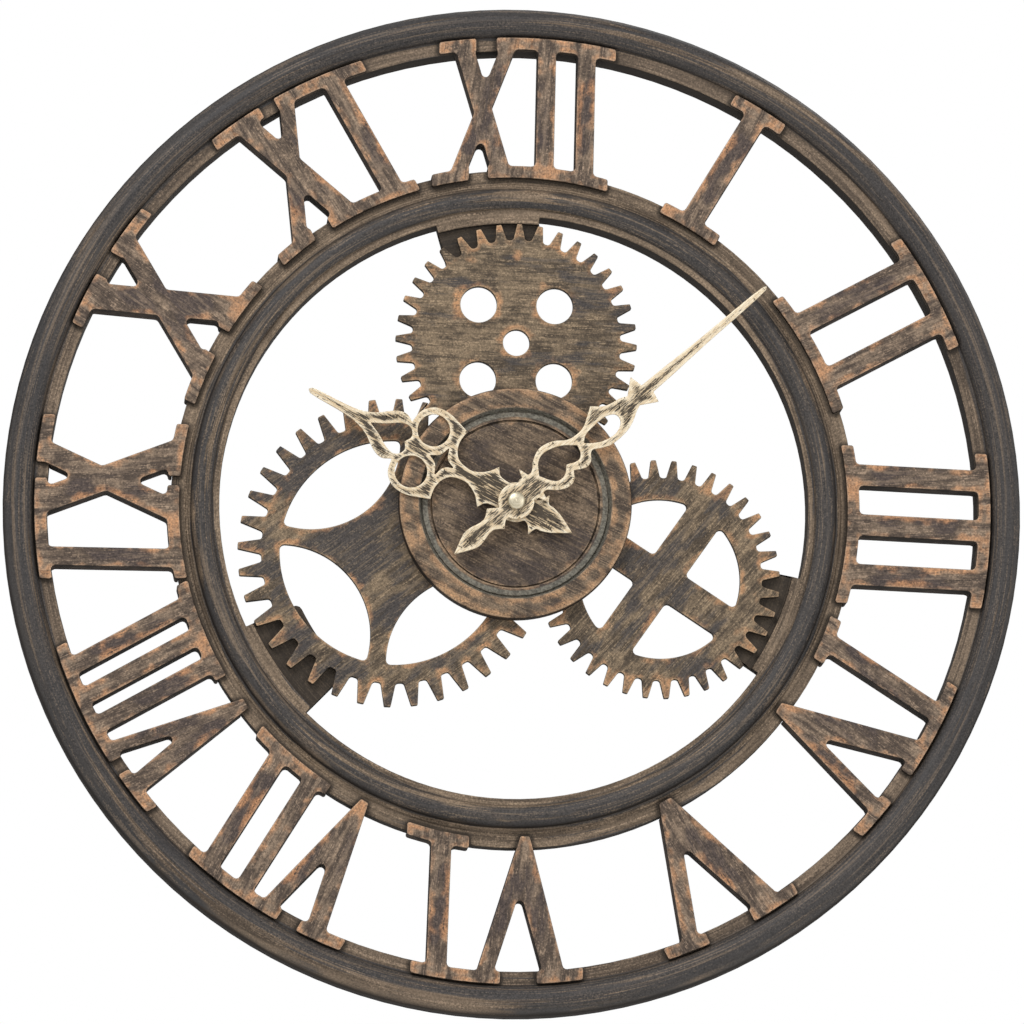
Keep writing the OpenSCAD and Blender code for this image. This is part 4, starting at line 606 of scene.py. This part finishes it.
# Motor and board
# Soft-iron stator with its coil of lacquered copper wire, a green board with the chip under resin,
# and the quartz crystal in its drawn metal can.
stator_iron = grained("stator_iron", tint(150, 150, 152), tint(118, 117, 118),
                      cell=3600, depth=0.00002, metal=0.8)
carried_over("stator", stator_iron, round_r=0.0001)
wire, wiring, shader = new_material("wound_copper_wire")
turns = wiring.add("ShaderNodeTexWave", Vector=wiring.place(), Scale=900, Distortion=0.4, Detail=2,
                   settings={"wave_type": "BANDS", "bands_direction": "X"})
shade = wiring.mix(turns, tint(120, 62, 34), tint(196, 112, 66))
wiring.link(shade, shader.inputs["Base Color"])
bump = wiring.add("ShaderNodeBump", Strength=1.0, Distance=0.00006, Height=turns)
wiring.link(bump, shader.inputs["Normal"])
shader.inputs["Metallic"].default_value = 0.6
shader.inputs["Roughness"].default_value = 0.35
carried_over("coil", wire, round_r=0.0002)
board_resin = grained("green_board", tint(38, 88, 60), tint(30, 72, 50), cell=4200, depth=0.00002)
carried_over("circuit_board", board_resin, round_r=0.0001)
can_metal = grained("drawn_crystal_can", tint(190, 192, 195), tint(160, 162, 166),
                    cell=4200, depth=0.00001, metal=0.95)
carried_over("quartz_crystal", can_metal, round_r=0.0001)

# Battery and contacts
# One loose AA cell in a printed sleeve with a bare steel top. A steel contact with a small cone
# presses on it at each end of the bay.
BATTERY_BAND_X, BATTERY_TOP_X = 0.0125, 0.0238
BAND_EDGE, TOP_EDGE = 0.0003, 0.0002
sleeve, wiring, shader = new_material("battery_sleeve")
along = wiring.split(wiring.place())[0]
finish = join_group(wiring, moulding_grain, Tone=tint(46, 66, 92), Worn=tint(40, 58, 82), Cell=2400)
lay_finish(wiring, shader, finish, depth=0.00001)
band = wiring.ramp(along, BATTERY_BAND_X, BATTERY_BAND_X + BAND_EDGE)
top = wiring.ramp(along, BATTERY_TOP_X, BATTERY_TOP_X + TOP_EDGE)
colour = wiring.mix(band, finish.outputs["Color"], tint(196, 198, 200))
colour = wiring.mix(top, colour, tint(176, 178, 182))
wiring.link(colour, shader.inputs["Base Color"])
wiring.link(top, shader.inputs["Metallic"])
carried_over("battery", sleeve, round_r=0.0004)
spring_steel = grained("sprung_contact_steel", tint(204, 206, 208), tint(172, 174, 178),
                       cell=3800, depth=0.00001, metal=0.95)
for node in ("positive_contact", "negative_contact"):
    carried_over(node, spring_steel, round_r=0.00008)

# Screws and hanger plate
# Pan-head screws of zinc-plated steel hold the numerals, gears and dial from behind. Countersunk
# ones hold a pressed steel plate across the outer ring's channel behind XII, and its keyhole takes
# the wall's hook.
screw_steel = grained("zinc_screw_steel", tint(186, 188, 190), tint(150, 150, 150),
                      cell=3000, depth=0.00002, metal=0.9)
for node in ("numeral_screws", "gear_screws", "dial_screws", "hanger_screws"):
    carried_over(node, screw_steel)
plate_steel = grained("pressed_plate_steel", tint(176, 178, 180), tint(140, 140, 139),
                      cell=1400, depth=0.00004, metal=0.9)
carried_over("hanger_plate", plate_steel, round_r=0.0003)

# Stage
# A plain pale floor well below the hanging clock, and a white surround that lights it softly from
# all round. Two wide lamps stand in front, the brighter one high on the left, and one behind.
FLOOR_Z, FLOOR_HALF = -0.85, 6
SURROUND = 0.58
floor_mesh = bpy.data.meshes.new("floor")
floor_mesh.from_pydata([(-FLOOR_HALF, -FLOOR_HALF, FLOOR_Z), (FLOOR_HALF, -FLOOR_HALF, FLOOR_Z),
                        (FLOOR_HALF, FLOOR_HALF, FLOOR_Z), (-FLOOR_HALF, FLOOR_HALF, FLOOR_Z)],
                       [], [(0, 1, 2, 3)])
floor = bpy.data.objects.new("floor", floor_mesh)
bpy.context.scene.collection.objects.link(floor)
pale, wiring, shader = new_material("pale_floor")
shader.inputs["Base Color"].default_value = tint(236, 236, 234)
shader.inputs["Roughness"].default_value = 0.7
floor_mesh.materials.append(pale)

world = bpy.data.worlds.new("white_surround")
bpy.context.scene.world = world
world.use_nodes = True
wiring = Wiring(world.node_tree)
world.node_tree.nodes.clear()
ray = world.node_tree.nodes.new("ShaderNodeLightPath")
seen = wiring.calc("MAXIMUM", ray.outputs["Is Camera Ray"], ray.outputs["Is Transmission Ray"])
strength = wiring.ramp(seen, 0, 1, SURROUND, 1.0)
glow = wiring.add("ShaderNodeBackground", Color=(1, 1, 1, 1), Strength=strength)
output = world.node_tree.nodes.new("ShaderNodeOutputWorld")
wiring.link(glow, output.inputs[0])


def lamp(name, place, size, power):
    """A square soft box that faces the clock."""
    light = bpy.data.lights.new(name, "AREA")
    light.size, light.energy = size, power
    obj = bpy.data.objects.new(name, light)
    obj.location = place
    obj.rotation_euler = (CLOCK_MIDDLE - Vector(place)).to_track_quat("-Z", "Y").to_euler()
    bpy.context.scene.collection.objects.link(obj)


lamp("key_lamp", (-1.1, -2.2, 1.9), size=1.4, power=44)
lamp("fill_lamp", (1.8, -2.0, 0.2), size=1.6, power=14)
lamp("back_lamp", (0.8, 2.4, 1.4), size=1.6, power=30)
